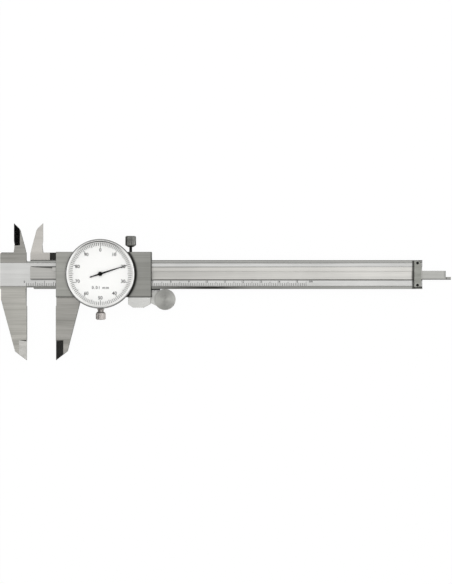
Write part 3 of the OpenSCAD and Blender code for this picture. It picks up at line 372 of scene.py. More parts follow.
# Bright chrome of the bezel, smooth enough to mirror the room
bezel_chrome = worked_metal("bright_chrome_bezel", "#dadad8", "#e8e8e6", 0.14, 0.25, 12, rough_span=0.05,
                            bump=0.05, axis=(0, DIAL_Y))
# Knurl of the bezel and wall of the case, chrome over a rough cut, painted dark as shade
knurl_painted_shade = worked_metal("chrome_knurl_painted_shade", "#383836", "#545452", 0.40, 0.25, 5)
# Dull nickel of the case and its boss, a warm grey
case_nickel = worked_metal("nickel_plated_case", "#a39e9b", "#bab5b1", 0.42, 0.30, 6, bump=0.1)
# Nickel of the clamp screw, brighter and a little warm
warm_nickel = worked_metal("nickel_plated_clamp", "#c8c2be", "#ded9d5", 0.50, 0.30, 6, bump=0.1)
# Dark nickel on the knurl of the lock screw
dark_nickel = worked_metal("dark_nickel_lock_head", "#6a6a68", "#94948f", 0.36, 0.30, 5, bump=0.15)
# Bright turned steel of screws and shafts
turned_steel = worked_metal("turned_steel_screws", "#94948f", "#b6b6b2", 0.28, 0.20, 5, bump=0.1)
# Yellow brass of the movement, hidden under the dial
movement_brass = worked_metal("movement_brass", "#b08d45", "#d4b26a", 0.30, 0.25, 8, bump=0.1)
# Brown spring bronze of the gib
gib_bronze = worked_metal("bronze_gib", "#9a7742", "#bd9a60", 0.34, 0.30, 20, bump=0.1)
# Blackened steel of small screws, and the black of the lock screw's neck
black_steel = solid_finish("blackened_steel", "#0b0b0b", "#1c1c1b", 0.50, 0.35, shine=0.2)
# Spring wire and clips, dark grey hardened steel
spring_steel = solid_finish("hardened_spring_steel", "#555553", "#7d7d7a", 0.30, 0.30, metallic=1.0)
# White enamel of the dial plate, even, with a faintly uneven skin
dial_enamel = solid_finish("white_dial_enamel", "#fbfbf9", "#fefefc", 0.42, 0.9, bump=0.04, shine=0.3)
# Printing ink of the dial, matt and nearly black
dial_ink = solid_finish("dial_printing_ink", "#1c1c1d", "#343435", 0.60, 0.12, shine=0.1)
# Dark filling of the engraved scale, matt
scale_ink = solid_finish("engraved_scale_filling", "#161616", "#2c2c2b", 0.60, 0.12, shine=0.1)
# Black lacquer of the hand, the blackest thing on the dial
hand_black = solid_finish("black_lacquer_hand", "#040404", "#0e0e0e", 0.60, 0.25, shine=0.1)
# Felt and rubber of the wiper, black without gloss. It also colours the box that fills the gap at the beam's edge
# as painted shade.
wiper_rubber = solid_finish("black_wiper_rubber", "#0a0a0a", "#191918", 0.75, 0.2, bump=0.4, shine=0.2)

# Mineral glass over the dial, bloomed so that it hardly mirrors. The dial's light passes through it.
crystal_glass, tree = new_material("clear_dial_crystal")
where = add(tree, "ShaderNodeTexCoord").outputs["Object"]
smear = add(tree, "ShaderNodeTexNoise", {"Vector": where, "Scale": 1 / (6 * MM), "Detail": 2.0})
film = add(tree, "ShaderNodeMapRange", {"Value": smear.outputs["Fac"], "To Min": 0.0, "To Max": 0.03})
glass = add(tree, "ShaderNodeBsdfPrincipled", {"Base Color": linear("#fefefe"), "Roughness": film.outputs[0],
                                               "IOR": 1.08, "Transmission Weight": 1.0})
clear = add(tree, "ShaderNodeBsdfTransparent", {"Color": linear("#fbfbfb")})
path = add(tree, "ShaderNodeLightPath").outputs
pane = glass
for ray in ("Is Shadow Ray", "Is Diffuse Ray"):
    pane = add(tree, "ShaderNodeMixShader", {0: path[ray], 1: pane.outputs[0], 2: clear.outputs[0]})
add(tree, "ShaderNodeOutputMaterial", {"Surface": pane.outputs[0]})


def put(name, mesh, body, slot, *finishes):
    """Makes a finished piece of a mesh, riding on a body."""
    made = bpy.data.objects.new(name, mesh)
    scene.collection.objects.link(made)
    for finish in finishes:
        mesh.materials.append(finish)
    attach(made, body)
    return made


def settled(holder):
    """Plain mesh of an object with its modifiers or its text worked out."""
    return bpy.data.meshes.new_from_object(holder.evaluated_get(bpy.context.evaluated_depsgraph_get()))


def as_mesh(work, name):
    """Plain mesh of what was worked, under a name."""
    mesh = bpy.data.meshes.new(name)
    work.to_mesh(mesh)
    work.free()
    return mesh


# Pieces of the beam and slide with their long edges broken

MERGE = 2e-6                     # points of a CAD mesh that are closer than this, in metres, are one
ONE_FLAT = math.radians(0.4)     # faces that turn less than this are one flat
SHARP = math.radians(30)         # edges that turn more than this are broken
SHORTEST = 1.0                   # edges shorter than this, in millimetres, stay sharp


def stoned(at, lean):
    """How wide an edge is broken, in millimetres: more on front edges that face +X or -Y."""
    squarely = max(lean.x, -lean.y) > ALONG and min(abs(lean.x), abs(lean.y)) < 0.1
    return 0.20 if squarely and lean.z > FRONT else 0.06


def eased(node, body, slot, finishes, pick, width=stoned, cuts=(), steps=1):
    """Stands for a CAD node: the same solid with its long sharp edges broken.

    width gives an edge's break in millimetres from its middle and from the sum of its faces'
    normals. pick gives a face's finish from its centre in millimetres, its normal and its
    area in square millimetres. Cuts are planes (point, normal) where the finish changes on
    one flat.
    """
    work = bmesh.new()
    work.from_mesh(NODES[node].data)
    bmesh.ops.remove_doubles(work, verts=work.verts, dist=MERGE)
    bmesh.ops.dissolve_limit(work, angle_limit=ONE_FLAT, verts=work.verts, edges=work.edges)
    for point, normal in cuts:
        bmesh.ops.bisect_plane(work, geom=work.verts[:] + work.edges[:] + work.faces[:],
                               plane_co=Vector(point) * MM, plane_no=normal, dist=1e-7)
    work.normal_update()
    weight = work.edges.layers.float.new("bevel_weight_edge")
    for edge in work.edges:
        if len(edge.link_faces) == 2 and edge.is_convex and edge.calc_length() > SHORTEST * MM \
                and edge.calc_face_angle(0) > SHARP:
            middle = (edge.verts[0].co + edge.verts[1].co) / (2 * MM)
            edge[weight] = width(middle, edge.link_faces[0].normal + edge.link_faces[1].normal)
    holder = bpy.data.objects.new(node + "_sharp", as_mesh(work, node + "_eased"))
    scene.collection.objects.link(holder)
    stone = holder.modifiers.new("stone", "BEVEL")
    stone.limit_method = "WEIGHT"
    stone.width = 1 * MM
    stone.segments = steps
    stone.use_clamp_overlap = False
    ready = settled(holder)
    bpy.data.objects.remove(holder)
    made = put(node + "_eased", ready, body, slot, *finishes)
    for face in ready.polygons:
        face.material_index = pick(face.center / MM, face.normal, face.area / MM ** 2)
        face.use_smooth = False
    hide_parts(node)
    return made


def beam_edge(at, lean):
    """Long front edges are broken fine, the upper outer one wider, the channel's lower one widest."""
    if at.x > ZERO_X and abs(at.y - CHANNEL_Y[0]) < 0.1 and at.z > SCALE_Z - 0.1:
        return 0.62
    if at.x > BEAM_END - 0.2:
        return 0.05
    if lean.z > FRONT and abs(lean.y) > ALONG:
        if at.y > EDGE_Y - 0.1:
            return 0.28
        return 0.16 if at.y < 0.1 - EDGE_Y else 0.14
    return stoned(at, lean)


def beam_finish(at, normal, area):
    """0 jaw, 1 scale, 2 lands, 3 channel, 4 knives, 5 broken edges, 6 sides, 7 walls and upper edges painted dark
    as shade, 8 block.
    """
    on_beam = abs(at.y) < EDGE_Y and at.x > ZERO_X
    if on_beam and CHANNEL_Z - 0.1 < at.z < SCALE_Z - 0.03:
        return 3 if normal.z > 0.9 else 7
    if normal.z > LEVEL:
        if abs(at.z - SCALE_Z) < 0.05:
            return 1
        if on_beam:
            return 2
        return 8 if at.y > 0 else 0
    if normal.z > 0.5 and abs(normal.x) > 0.2 and area > KNIFE_AREA:
        return 4
    if normal.z > FRONT:
        return 7 if on_beam and normal.y > ALONG and at.y > LAND_Y + 0.5 else 5
    return 6


beam = eased("beam", "beam", "satin_steel",
             [ground_steel, satin_chrome, lapped_land, milled_channel, knife_steel, stoned_edge, milled_side,
              painted_shade_steel, slide_steel], beam_finish, width=beam_edge,
             cuts=[((0, EDGE_Y, 0), (0, 1, 0)), ((0, -EDGE_Y, 0), (0, 1, 0)), ((ZERO_X, 0, 0), (1, 0, 0))])
# a hair of clearance on the fixed jaw's face, so that closed jaws meet without their skins crossing
JAW_HAIR = 0.01
for vertex in beam.data.vertices:
    if abs(vertex.co.x - ZERO_X * MM) < 0.005 * MM and vertex.co.y < -EDGE_Y * MM:
        vertex.co.x -= JAW_HAIR * MM


def slide_finish(at, normal, area):
    """0 jaw and body, 1 inside jaw, 2 knives, 3 broken edges, 4 sides, 5 pocket, painted dark as shade."""
    on_inside = at.y > EDGE_Y and at.x < JAW_X + 1
    sunk = at.y < BLOCK_Y - 0.1 and at.z < INSIDE_Z - 0.05
    if on_inside and sunk and at.x > JAW_X - 3.5 and normal.z > -0.5:
        return 5
    if normal.z > LEVEL:
        return 1 if on_inside and at.y > BLOCK_Y - 2.3 else 0
    if normal.z > 0.5 and abs(normal.x) > 0.15 and area > KNIFE_AREA:
        return 2
    return 3 if normal.z > FRONT else 4


eased("slide_body", "slide", "ground_steel",
      [slide_steel, lapped_jaw, knife_steel, stoned_edge, milled_side, painted_shade_steel], slide_finish,
      width=lambda at, lean: 0.07, cuts=[((0, BLOCK_Y, 0), (0, 1, 0))])


def flat_finish(at, normal, area):
    """0 flats, 1 broken edges, 2 sides of a plate."""
    if abs(normal.z) > LEVEL:
        return 0
    return 1 if normal.z > FRONT else 2


def rod_edge(at, lean):
    """The rod's lower front edge is broken most, and the step before its nose."""
    if lean.z < FRONT:
        return 0.04
    if lean.x > ALONG:
        return 0.30 if at.z > ROD_Z - 0.1 and at.y < ROD_NOSE_Y else 0.06
    return 0.22 if lean.y < -ALONG else 0.10


def plate_edge(at, lean):
    """The end plate's long edges are broken, and its left one less."""
    if lean.z < FRONT or lean.x > 0.1:
        return 0.05
    return 0.12 if lean.x < -ALONG else 0.30


# on the cover, the depth rod and the end plate the broken edges are painted dark as shade
eased("cover_plate", "slide", "ground_steel", [cover_steel, painted_shade_steel, milled_side], flat_finish,
      width=lambda at, lean: 1.9 * stoned(at, lean))
eased("back_plate", "slide", "ground_steel", [back_steel, stoned_edge, milled_side], flat_finish)
for name, finish in (("thumb_rest", plated_rest), ("roller_bracket", plated_bracket)):
    eased(name, "slide", "bright_steel", [finish], lambda at, normal, area: 0,
          width=lambda at, lean: 0.12, steps=3)
eased("depth_rod", "slide", "satin_steel", [drawn_steel, painted_shade_steel, milled_side], flat_finish, width=rod_edge)
eased("end_plate", "beam", "dark_steel", [stop_steel, painted_shade_steel, milled_side], flat_finish, width=plate_edge)


# CAD nodes that show as they are

PLAIN = {
    "rack": rack_steel, "end_plate_screws": black_steel, "cover_screws": turned_steel,
    "back_plate_screws": turned_steel, "gib_strip": gib_bronze, "gib_set_screws": black_steel,
    "depth_rod_screws": turned_steel, "bracket_screws": turned_steel, "edge_wiper": wiper_rubber,
    "roller_clip": spring_steel,
    "case_screws": turned_steel, "lower_bushes": movement_brass, "bridge_pillars": movement_brass,
    "movement_bridge": movement_brass, "bridge_screws": turned_steel, "upper_bushes": movement_brass,
    "bezel_spring": spring_steel, "brake_plug": movement_brass, "clamp_screw": warm_nickel,
    "pinion_shaft": turned_steel, "drive_gear": movement_brass, "takeup_gear": movement_brass,
    "takeup_spring": spring_steel, "centre_arbor": turned_steel, "hand": hand_black,
    "crystal": crystal_glass, "spacer_ring": dial_enamel,
    "dial_plate": dial_enamel, "dial_clip": spring_steel,
}
for name, finish in PLAIN.items():
    NODES[name].data.materials.clear()
    NODES[name].data.materials.append(finish)


def dress(node, finishes, pick):
    """Gives a CAD node several finishes, which pick chooses by a face's centre in millimetres and normal."""
    mesh = NODES[node].data
    mesh.materials.clear()
    for finish in finishes:
        mesh.materials.append(finish)
    for face in mesh.polygons:
        face.material_index = pick(face.center / MM, face.normal)


def from_axis(at):
    """Distance of a place from the dial's axis."""
    return math.hypot(at.x, at.y - DIAL_Y)


def case_finish(at, normal):
    """0 floor and boss, 1 round wall of the dial case, painted dark as shade."""
    return int(abs(normal.z) < 0.5 and from_axis(at) < CASE_R + 0.1)


dress("lock_screw", [dark_nickel, black_steel], lambda at, normal: int(at.y < LOCK_HEAD_Y))
dress("dial_case", [case_nickel, knurl_painted_shade], case_finish)


# Turned pieces

def turned(name, outline, centre, steps):
    """A piece turned about an upright axis at (x, y) from a closed outline of (radius, height)."""
    work = bmesh.new()
    rings = []
    for step in range(steps):
        turn = 2 * math.pi * step / steps
        rings.append([work.verts.new((centre[0] + r * math.cos(turn), centre[1] + r * math.sin(turn), z))
                      for r, z in outline])
    count = len(outline)
    for step in range(steps):
        here, ahead = rings[step], rings[(step + 1) % steps]
        for i in range(count):
            j = (i + 1) % count
            if outline[i][0] + outline[j][0] > 0:
                work.faces.new((here[i], ahead[i], ahead[j], here[j]))
    bmesh.ops.remove_doubles(work, verts=work.verts, dist=1e-5)
    bmesh.ops.recalc_face_normals(work, faces=work.faces)
    mesh = as_mesh(work, name)
    mesh.transform(Matrix.Scale(MM, 4))
    mesh.shade_smooth()
    mesh.set_sharp_from_angle(angle=math.radians(8))
    return mesh


def rounded(r, z, size):
    """Points of a rounded outer top corner at radius r and height z, from its side to its top."""
    turns = [math.radians(a) for a in range(0, 91, 6)]
    return [(r - size * (1 - math.cos(a)), z - size * (1 - math.sin(a))) for a in turns]


# Sizes of the bezel
BORE_R = 18.45                        # bore over the dial case
FOOT_R = 18.85                        # ring that carries the knurl
BEZEL_R = 19.15                       # rim over the knurl
LIP_R = 17.5                          # opening over the crystal
LIP_SLOPE = 0.65                      # width of the slope round the opening
LIP_DROP = 0.16                       # fall of that slope
RIM_ROUND = 0.95                      # rounding of the rim
DARK_RIM_RISE = 0.69                     # the rim's rounding is painted dark as shade where it rises less than this
BEZEL_Z = limit("bezel", "-z")        # foot of the bezel
KNURL_Z = limit("dial_case", "+z")    # foot of the knurl, at the case's top
KNURL_TOP = 13.8                      # top of the knurl
LIP_Z = limit("crystal", "+z")        # back of the lip, on the crystal
BEZEL_TOP = limit("bezel", "+z")      # front of the bezel
bezel_outline = [(BORE_R, BEZEL_Z), (FOOT_R - 0.2, BEZEL_Z), (FOOT_R, BEZEL_Z + 0.3), (FOOT_R, KNURL_TOP),
                 (BEZEL_R, KNURL_TOP)]
bezel_outline += rounded(BEZEL_R, BEZEL_TOP, RIM_ROUND)
bezel_outline += [(LIP_R + LIP_SLOPE, BEZEL_TOP), (LIP_R, BEZEL_TOP - LIP_DROP), (LIP_R, LIP_Z),
                  (BORE_R, LIP_Z)]

# Sizes of the roller, whose stub has a groove for its clip
STUB_R = 1.5                          # stub in the bracket
GROOVE_R = 1.25                       # bottom of the groove
ROLL_R = 5.75                         # part that runs on the beam's edge
DISC_R = 5.79                         # disc that the thumb turns
ROLL_BREAK = 0.25                     # broken edge at the back
DISC_ROUND = 0.2                      # rounding of the disc
DISC_RING = 1.0                       # width of the level ring round the face
DISC_DISH = 0.1                       # depth of the dished face
STUB_Z = limit("thumb_roller", "-z")
GROOVE_Z = (0.15, 0.57)
ROLL_Z = 1.65                         # back of the roller
DISC_Z = 5.65                         # back of the disc
DISC_TOP = limit("thumb_roller", "+z")
roller_outline = [(0, STUB_Z), (STUB_R, STUB_Z), (STUB_R, GROOVE_Z[0]), (GROOVE_R, GROOVE_Z[0]),
                  (GROOVE_R, GROOVE_Z[1]), (STUB_R, GROOVE_Z[1]), (STUB_R, ROLL_Z),
                  (ROLL_R - ROLL_BREAK, ROLL_Z), (ROLL_R, ROLL_Z + ROLL_BREAK), (ROLL_R, DISC_Z),
                  (DISC_R, DISC_Z)]
roller_outline += rounded(DISC_R, DISC_TOP, DISC_ROUND)
roller_outline += [(DISC_R - DISC_RING, DISC_TOP), (0, DISC_TOP - DISC_DISH)]


# Ticks and knurls, made by geometry nodes

def new_tree(name, sizes):
    """Starts a tree of geometry nodes with named inputs, which hold millimetres or counts."""
    tree = bpy.data.node_groups.new(name, "GeometryNodeTree")
    tree.interface.new_socket("Geometry", in_out="OUTPUT", socket_type="NodeSocketGeometry")
    for key, value in sizes.items():
        kind = "NodeSocketInt" if isinstance(value, int) else "NodeSocketFloat"
        socket = tree.interface.new_socket(key, in_out="INPUT", socket_type=kind)
        socket.default_value = value
    tree.interface.new_socket("Finish", in_out="INPUT", socket_type="NodeSocketMaterial")
    return tree, add(tree, "NodeGroupInput").outputs


def ring_places(tree, given, start):
    """Points of a ring, and each one's turn about Z, which is start at the first."""
    points = add(tree, "GeometryNodeMeshCircle", {"Vertices": given["Count"], "Radius": given["Radius"]})
    index = add(tree, "GeometryNodeInputIndex").outputs[0]
    part = add(tree, "ShaderNodeMath", {0: index, 1: given["Count"]}, operation="DIVIDE")
    turn = add(tree, "ShaderNodeMath", {0: part.outputs[0], 1: 2 * math.pi, 2: start},
               operation="MULTIPLY_ADD")
    spin = add(tree, "ShaderNodeCombineXYZ", {"Z": turn.outputs[0]})
    return points.outputs["Mesh"], spin.outputs[0]


def repeat(tree, given, points, piece, spin, size):
    """Ends a tree with a piece at every point, made real and given its finish."""
    pieces = add(tree, "GeometryNodeInstanceOnPoints", {"Points": points, "Instance": piece,
                                                        "Rotation": spin, "Scale": size})
    whole = add(tree, "GeometryNodeRealizeInstances", {"Geometry": pieces.outputs[0]})
    coated = add(tree, "GeometryNodeSetMaterial", {"Geometry": whole.outputs[0], "Material": given["Finish"]})
    add(tree, "NodeGroupOutput", {"Geometry": coated.outputs[0]})


def tick_lengths(tree, given):
    """Length of each tick from its number: long at tens, middle at fives, short elsewhere."""
    index = add(tree, "GeometryNodeInputIndex").outputs[0]
    length = given["Short"]
    for every, kind in ((5.0, "Middle"), (10.0, "Long")):
        rest = add(tree, "ShaderNodeMath", {0: index, 1: every}, operation="MODULO")
        due = add(tree, "FunctionNodeCompare", {"A": rest.outputs[0], "B": 0.5}, operation="LESS_THAN")
        length = add(tree, "GeometryNodeSwitch", {"Switch": due.outputs[0], "False": length,
                                                  "True": given[kind]}, input_type="FLOAT").outputs[0]
    return length


def tick_tree(name, sizes, ring):
    """Ticks in a row along X, or in a ring that starts at the top and reaches inwards."""
    tree, given = new_tree(name, sizes)
    length = tick_lengths(tree, given)
    bar = add(tree, "GeometryNodeMeshCube")
    foot = add(tree, "GeometryNodeTransform", {"Geometry": bar.outputs["Mesh"], "Translation": (0, 0.5, 0.5)})
    size = add(tree, "ShaderNodeCombineXYZ", {"X": given["Width"], "Y": length, "Z": given["Thickness"]})
    if ring:
        points, spin = ring_places(tree, given, math.pi / 2)
    else:
        step = add(tree, "ShaderNodeCombineXYZ", {"X": given["Pitch"]})
        row = add(tree, "GeometryNodeMeshLine", {"Count": given["Count"], "Offset": step.outputs[0]})
        points, spin = row.outputs["Mesh"], (0, 0, 0)
    repeat(tree, given, points, foot.outputs[0], spin, size.outputs[0])
    return tree


def ridge_tree(name, sizes):
    """Upright ridges round a ring, each a square bar set on its edge."""
    tree, given = new_tree(name, sizes)
    bar = add(tree, "GeometryNodeMeshCube")
    edged = add(tree, "GeometryNodeTransform", {"Geometry": bar.outputs["Mesh"], "Translation": (0, 0, 0.5),
                                                "Rotation": (0, 0, math.pi / 4)})
    size = add(tree, "ShaderNodeCombineXYZ", {"X": given["Width"], "Y": given["Width"],
                                              "Z": given["Height"]})
    points, spin = ring_places(tree, given, 0.0)
    repeat(tree, given, points, edged.outputs[0], spin, size.outputs[0])
    return tree


def grow(tree, finish, place):
    """Plain mesh of what a tree makes in millimetres, put at its place in metres."""
    holder = bpy.data.objects.new(tree.name, bpy.data.meshes.new(tree.name))
    scene.collection.objects.link(holder)
    maker = holder.modifiers.new("maker", "NODES")
    maker.node_group = tree
    for item in tree.interface.items_tree:
        if item.item_type == "SOCKET" and item.in_out == "INPUT":
            maker[item.identifier] = finish if item.name == "Finish" else item.default_value
    mesh = settled(holder)
    holder.modifiers.remove(maker)
    bpy.data.objects.remove(holder)
    mesh.transform(place @ Matrix.Scale(MM, 4))
    return mesh


def lettering(words, finish):
    """One flat mesh of words, each (text, height, x, y, z, spacing) in millimetres about its middle."""
    work = bmesh.new()
    for text, height, x, y, z, spacing in words:
        curve = bpy.data.curves.new("word", "FONT")
        curve.body = text
        curve.resolution_u = 3
        curve.offset = 0.02     # a little bolder than the font
        curve.space_character = spacing
        curve.extrude = 0.5
        holder = bpy.data.objects.new("word", curve)
        scene.collection.objects.link(holder)
        mesh = settled(holder)
        lo = [min(v.co[i] for v in mesh.vertices) for i in range(3)]
        hi = [max(v.co[i] for v in mesh.vertices) for i in range(3)]
        middle = Matrix.Translation([-(lo[0] + hi[0]) / 2, -(lo[1] + hi[1]) / 2, -lo[2]])
        grow_by = height / (hi[1] - lo[1])
        size = Matrix.Diagonal((grow_by, grow_by, INK / (hi[2] - lo[2]), 1))
        mesh.transform(Matrix.Scale(MM, 4) @ Matrix.Translation((x, y, z)) @ size @ middle)
        work.from_mesh(mesh)
        bpy.data.objects.remove(holder)
        bpy.data.curves.remove(curve)
        bpy.data.meshes.remove(mesh)
    made = as_mesh(work, "words")
    made.materials.append(finish)
    return made


def joined(name, *meshes):
    """One mesh of several that share a finish."""
    work = bmesh.new()
    for mesh in meshes:
        work.from_mesh(mesh)
    return as_mesh(work, name)


# bezel: a turned ring with a knurl of 150 ridges
ring_mesh = turned("bezel_ring", bezel_outline, (0, DIAL_Y), 240)
ridges = grow(ridge_tree("bezel_ridges", {"Count": 150, "Radius": FOOT_R, "Width": 0.27,
                                          "Height": KNURL_TOP - KNURL_Z}),
              knurl_painted_shade, Matrix.Translation((0, DIAL_Y * MM, KNURL_Z * MM)))
bezel_ring = put("bezel_ring", ring_mesh, "dial_bezel", "chrome", bezel_chrome, knurl_painted_shade)
# the rim's rounding where it rises little, and the foot and knurl band, take the dark knurl finish as painted
# shade
for face in ring_mesh.polygons:
    painted_dark = face.normal.z < DARK_RIM_RISE and from_axis(face.center / MM) > BORE_R
    face.material_index = int(painted_dark or face.center.z < (KNURL_TOP + 0.01) * MM)
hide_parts("bezel")
put("bezel_knurl", ridges, "dial_bezel", "chrome")

# roller: a turned disc with a knurl of 72 ridges
disc_mesh = turned("roller_disc", roller_outline, ROLLER, 144)
disc = put("roller_disc", disc_mesh, "roller", "satin_steel", turned_roller)
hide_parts("thumb_roller")
ridges = grow(ridge_tree("roller_ridges", {"Count": 72, "Radius": DISC_R, "Width": 0.225, "Height": 0.85}),
              turned_roller, Matrix.Translation((ROLLER[0] * MM, ROLLER[1] * MM, DISC_Z * MM)))
put("roller_knurl", ridges, "roller", "satin_steel")

# wiper: a black box that fills the gap between the wiper and the beam's edge, painted shade where the gap would
# show the floor
GAP_SHADE_LOW = Vector((28.05, limit("edge_wiper", "+y"), 1.55))     # two opposite corners of the lip
GAP_SHADE_HIGH = Vector((32.45, -EDGE_Y - 0.005, 5.25))
gap_shade_size = Matrix.Diagonal((*(GAP_SHADE_HIGH - GAP_SHADE_LOW), 1))
gap_shade = bmesh.new()
bmesh.ops.create_cube(gap_shade, size=MM, matrix=Matrix.Translation((GAP_SHADE_LOW + GAP_SHADE_HIGH) / 2 * MM) @ gap_shade_size)
put("wiper_gap_shade", as_mesh(gap_shade, "wiper_gap_shade"), "slide", "wiper_rubber", wiper_rubber)

# scale of the beam: a tick every millimetre from 0 to 155, and a number at each centimetre
SCALE_FOOT_Y = -6.32      # lower ends of the ticks
SCALE_NUMBER_Y = -3.93    # middle of the numbers
SCALE_NUMBER_H = 1.12
ZERO_SHIFT = 1.2          # the zero stands this far left of its tick
UNIT_REACH = 157.6        # the unit stands this far right of the zero's tick
UNIT_Y = -3.9
UNIT_H = 0.9
row = tick_tree("scale_ticks", {"Count": 156, "Pitch": 1.0, "Width": 0.21, "Short": 1.65, "Middle": 2.4,
                                "Long": 1.8, "Thickness": INK}, ring=False)
ticks = grow(row, scale_ink, Matrix.Translation((ZERO_X * MM, SCALE_FOOT_Y * MM, SCALE_Z * MM)))
numbers = []
for n in range(16):
    number_x = ZERO_X + 10 * n - (ZERO_SHIFT if n == 0 else 0)
    numbers.append((str(n), SCALE_NUMBER_H, number_x, SCALE_NUMBER_Y, SCALE_Z, 1.0))
numbers.append(("cm", UNIT_H, ZERO_X + UNIT_REACH, UNIT_Y, SCALE_Z, 1.0))
scale_mesh = joined("scale_marks", ticks, lettering(numbers, scale_ink))
put("scale_marks", scale_mesh, "beam", "hand_black", scale_ink)

# dial: a hundred ticks, a number at every ten, and the worth of one tick
DIAL_NUMBER_R = 13.2      # ring of the numbers' middles
DIAL_NUMBER_H = 1.9
WORTH_DROP = 7.55         # the worth of a tick stands this far below the axis
WORTH_H = 1.65
ring = tick_tree("dial_ticks", {"Count": 100, "Radius": 17.24, "Width": 0.28, "Short": 1.85, "Middle": 2.35,
                                "Long": 2.85, "Thickness": INK}, ring=True)
dial_place = Matrix.Translation((0, DIAL_Y * MM, PLATE_Z * MM))
ticks = grow(ring, dial_ink, dial_place @ Matrix.Rotation(math.pi / 2, 4, "Z"))
numbers = []
for n in range(10):
    turn = math.radians(90 - 36 * n)
    number_x = DIAL_NUMBER_R * math.cos(turn)
    number_y = DIAL_Y + DIAL_NUMBER_R * math.sin(turn)
    numbers.append((str(10 * n), DIAL_NUMBER_H, number_x, number_y, PLATE_Z, 1.0))
numbers.append(("0.01 mm", WORTH_H, 0.0, DIAL_Y - WORTH_DROP, PLATE_Z, 1.25))
dial_mesh = joined("dial_marks", ticks, lettering(numbers, dial_ink))
put("dial_marks", dial_mesh, "dial_bezel", "hand_black", dial_ink)


# Studio

# white paper under the caliper, over-lit for the eye so that only the deeper shadow is left
WASH = 0.97
paper, tree = new_material("white_paper")
where = add(tree, "ShaderNodeTexCoord").outputs["Object"]
fibre = add(tree, "ShaderNodeTexNoise", {"Vector": where, "Scale": 1 / (3 * MM), "Detail": 2.0})
tint = add(tree, "ShaderNodeMix", {"Factor": fibre.outputs["Fac"], "A": linear("#fafafa"),
                                   "B": linear("#ffffff")}, data_type="RGBA")
shader = add(tree, "ShaderNodeBsdfPrincipled", {"Base Color": tint.outputs["Result"], "Roughness": 0.9,
                                                "Specular IOR Level": 0.0})
glow = add(tree, "ShaderNodeEmission", {"Color": linear("#ffffff"), "Strength": 1.0})
seen = add(tree, "ShaderNodeMath", {0: add(tree, "ShaderNodeLightPath").outputs["Is Camera Ray"], 1: WASH},
           operation="MULTIPLY")
washed = add(tree, "ShaderNodeMixShader", {0: seen.outputs[0], 1: shader.outputs[0], 2: glow.outputs[0]})
add(tree, "ShaderNodeOutputMaterial", {"Surface": washed.outputs[0]})
sheet = bpy.data.meshes.new("floor")
sheet.from_pydata([(-3, -3, 0), (3, -3, 0), (3, 3, 0), (-3, 3, 0)], [], [(0, 1, 2, 3)])
floor = bpy.data.objects.new("floor", sheet)
scene.collection.objects.link(floor)
sheet.materials.append(paper)


def slope(degrees):
    """Sideways part of a direction for each part of its height, at an angle from straight up."""
    return math.tan(math.radians(degrees))


# room: even white light, white behind the object, and for gloss the shades below
world = bpy.data.worlds.new("studio")
world.use_nodes = True
scene.world = world
tree = world.node_tree
tree.nodes.clear()
way = add(tree, "ShaderNodeSeparateXYZ",
          {"Vector": add(tree, "ShaderNodeTexCoord").outputs["Generated"]}).outputs
lean = add(tree, "ShaderNodeMath", {0: way["X"], 1: way["Z"]}, operation="DIVIDE").outputs[0]
overhead = graded(
    tree,
    (lean, slope(-35), slope(-29), 0.15, GLOSS),    # dark flag on the left
    (lean, slope(-47), slope(-43), 0.0, 1.0),       # black outer part of that flag
    (lean, slope(43), slope(48), 1.0, 4.6),         # bright panel low on the right
    (way["Y"], -0.37, -0.28, 0.09, 1.0),            # dark wing below the picture
    (way["Y"], 0.42, 0.56, 1.0, 0.03),              # dark wing above the picture
    (way["Z"], 0.34, 0.76, 0.06, 1.0),              # dark horizon
    unit=1)
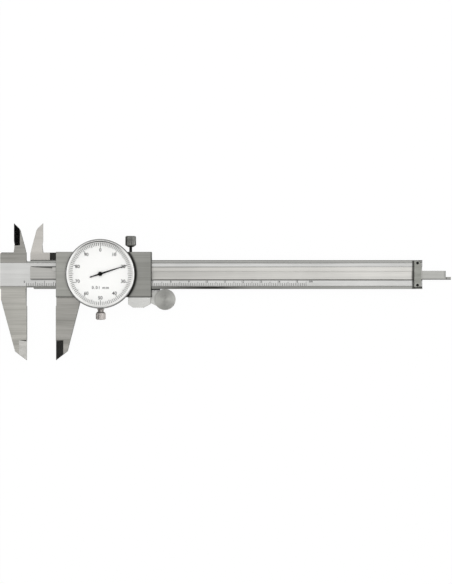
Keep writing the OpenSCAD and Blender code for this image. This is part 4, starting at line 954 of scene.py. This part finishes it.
# below the wings a pale wall, open behind the flag, lights the flats for an eye at the side
beside_flag = most(tree, graded(tree, (way["X"], -0.74, -0.66, 0.0, 1.0), unit=1),
                   graded(tree, (way["X"], -0.94, -0.90, 1.0, 0.0), unit=1))
pale = graded(tree, (way["Z"], 0.12, 0.36, 0.05, 0.66), unit=1)
wall = add(tree, "ShaderNodeMath", {0: pale, 1: beside_flag}, operation="MULTIPLY").outputs[0]
lid = graded(tree, (way["Z"], 0.58, 0.66, 0.0, 1.0), unit=1)
room = add(tree, "ShaderNodeMix", {"Factor": lid, "A": wall, "B": overhead}).outputs["Result"]
lit, gloss, white = [add(tree, "ShaderNodeBackground", {"Color": linear("#ffffff"), "Strength": strength})
                     for strength in (0.92, room, 1.0)]
path = add(tree, "ShaderNodeLightPath").outputs
direct = add(tree, "ShaderNodeMath", {0: path["Diffuse Depth"], 1: 0.5}, operation="LESS_THAN")
through = add(tree, "ShaderNodeMath", {0: path["Is Transmission Ray"], 1: direct.outputs[0]},
              operation="MULTIPLY")
seen = most(tree, path["Is Camera Ray"], through.outputs[0])
first = add(tree, "ShaderNodeMixShader", {0: path["Is Glossy Ray"], 1: lit.outputs[0], 2: gloss.outputs[0]})
whole = add(tree, "ShaderNodeMixShader", {0: seen, 1: first.outputs[0], 2: white.outputs[0]})
add(tree, "ShaderNodeOutputWorld", {"Surface": whole.outputs[0]})

# one soft lamp, high above the picture's top, which the metal doesn't mirror
lamp = bpy.data.lights.new("soft_lamp", "AREA")
lamp.shape = "DISK"
lamp.size = 0.5
lamp.energy = 2.9
key = bpy.data.objects.new("soft_lamp", lamp)
scene.collection.objects.link(key)
key.location = (0.05, 0.50, 1.1)
key.rotation_euler = (Vector((0.02, 0, 0)) - key.location).to_track_quat("-Z", "Y").to_euler()
key.visible_glossy = False

# camera: straight above, the picture 250.7 by 323.9 mm on the scale face
VIEW_X, VIEW_Y = 69.2, -9.65      # middle of the picture
VIEW_HALF = 161.95                # half the picture's height
camera = bpy.data.cameras.new("camera")
camera.lens = 111
camera.sensor_width = 36
eye_rise = VIEW_HALF * MM * camera.lens / (camera.sensor_width / 2)
eye = bpy.data.objects.new("camera", camera)
scene.collection.objects.link(eye)
eye.location = (VIEW_X * MM, VIEW_Y * MM, SCALE_Z * MM + eye_rise)
scene.camera = eye
scene.view_settings.view_transform = "Standard"
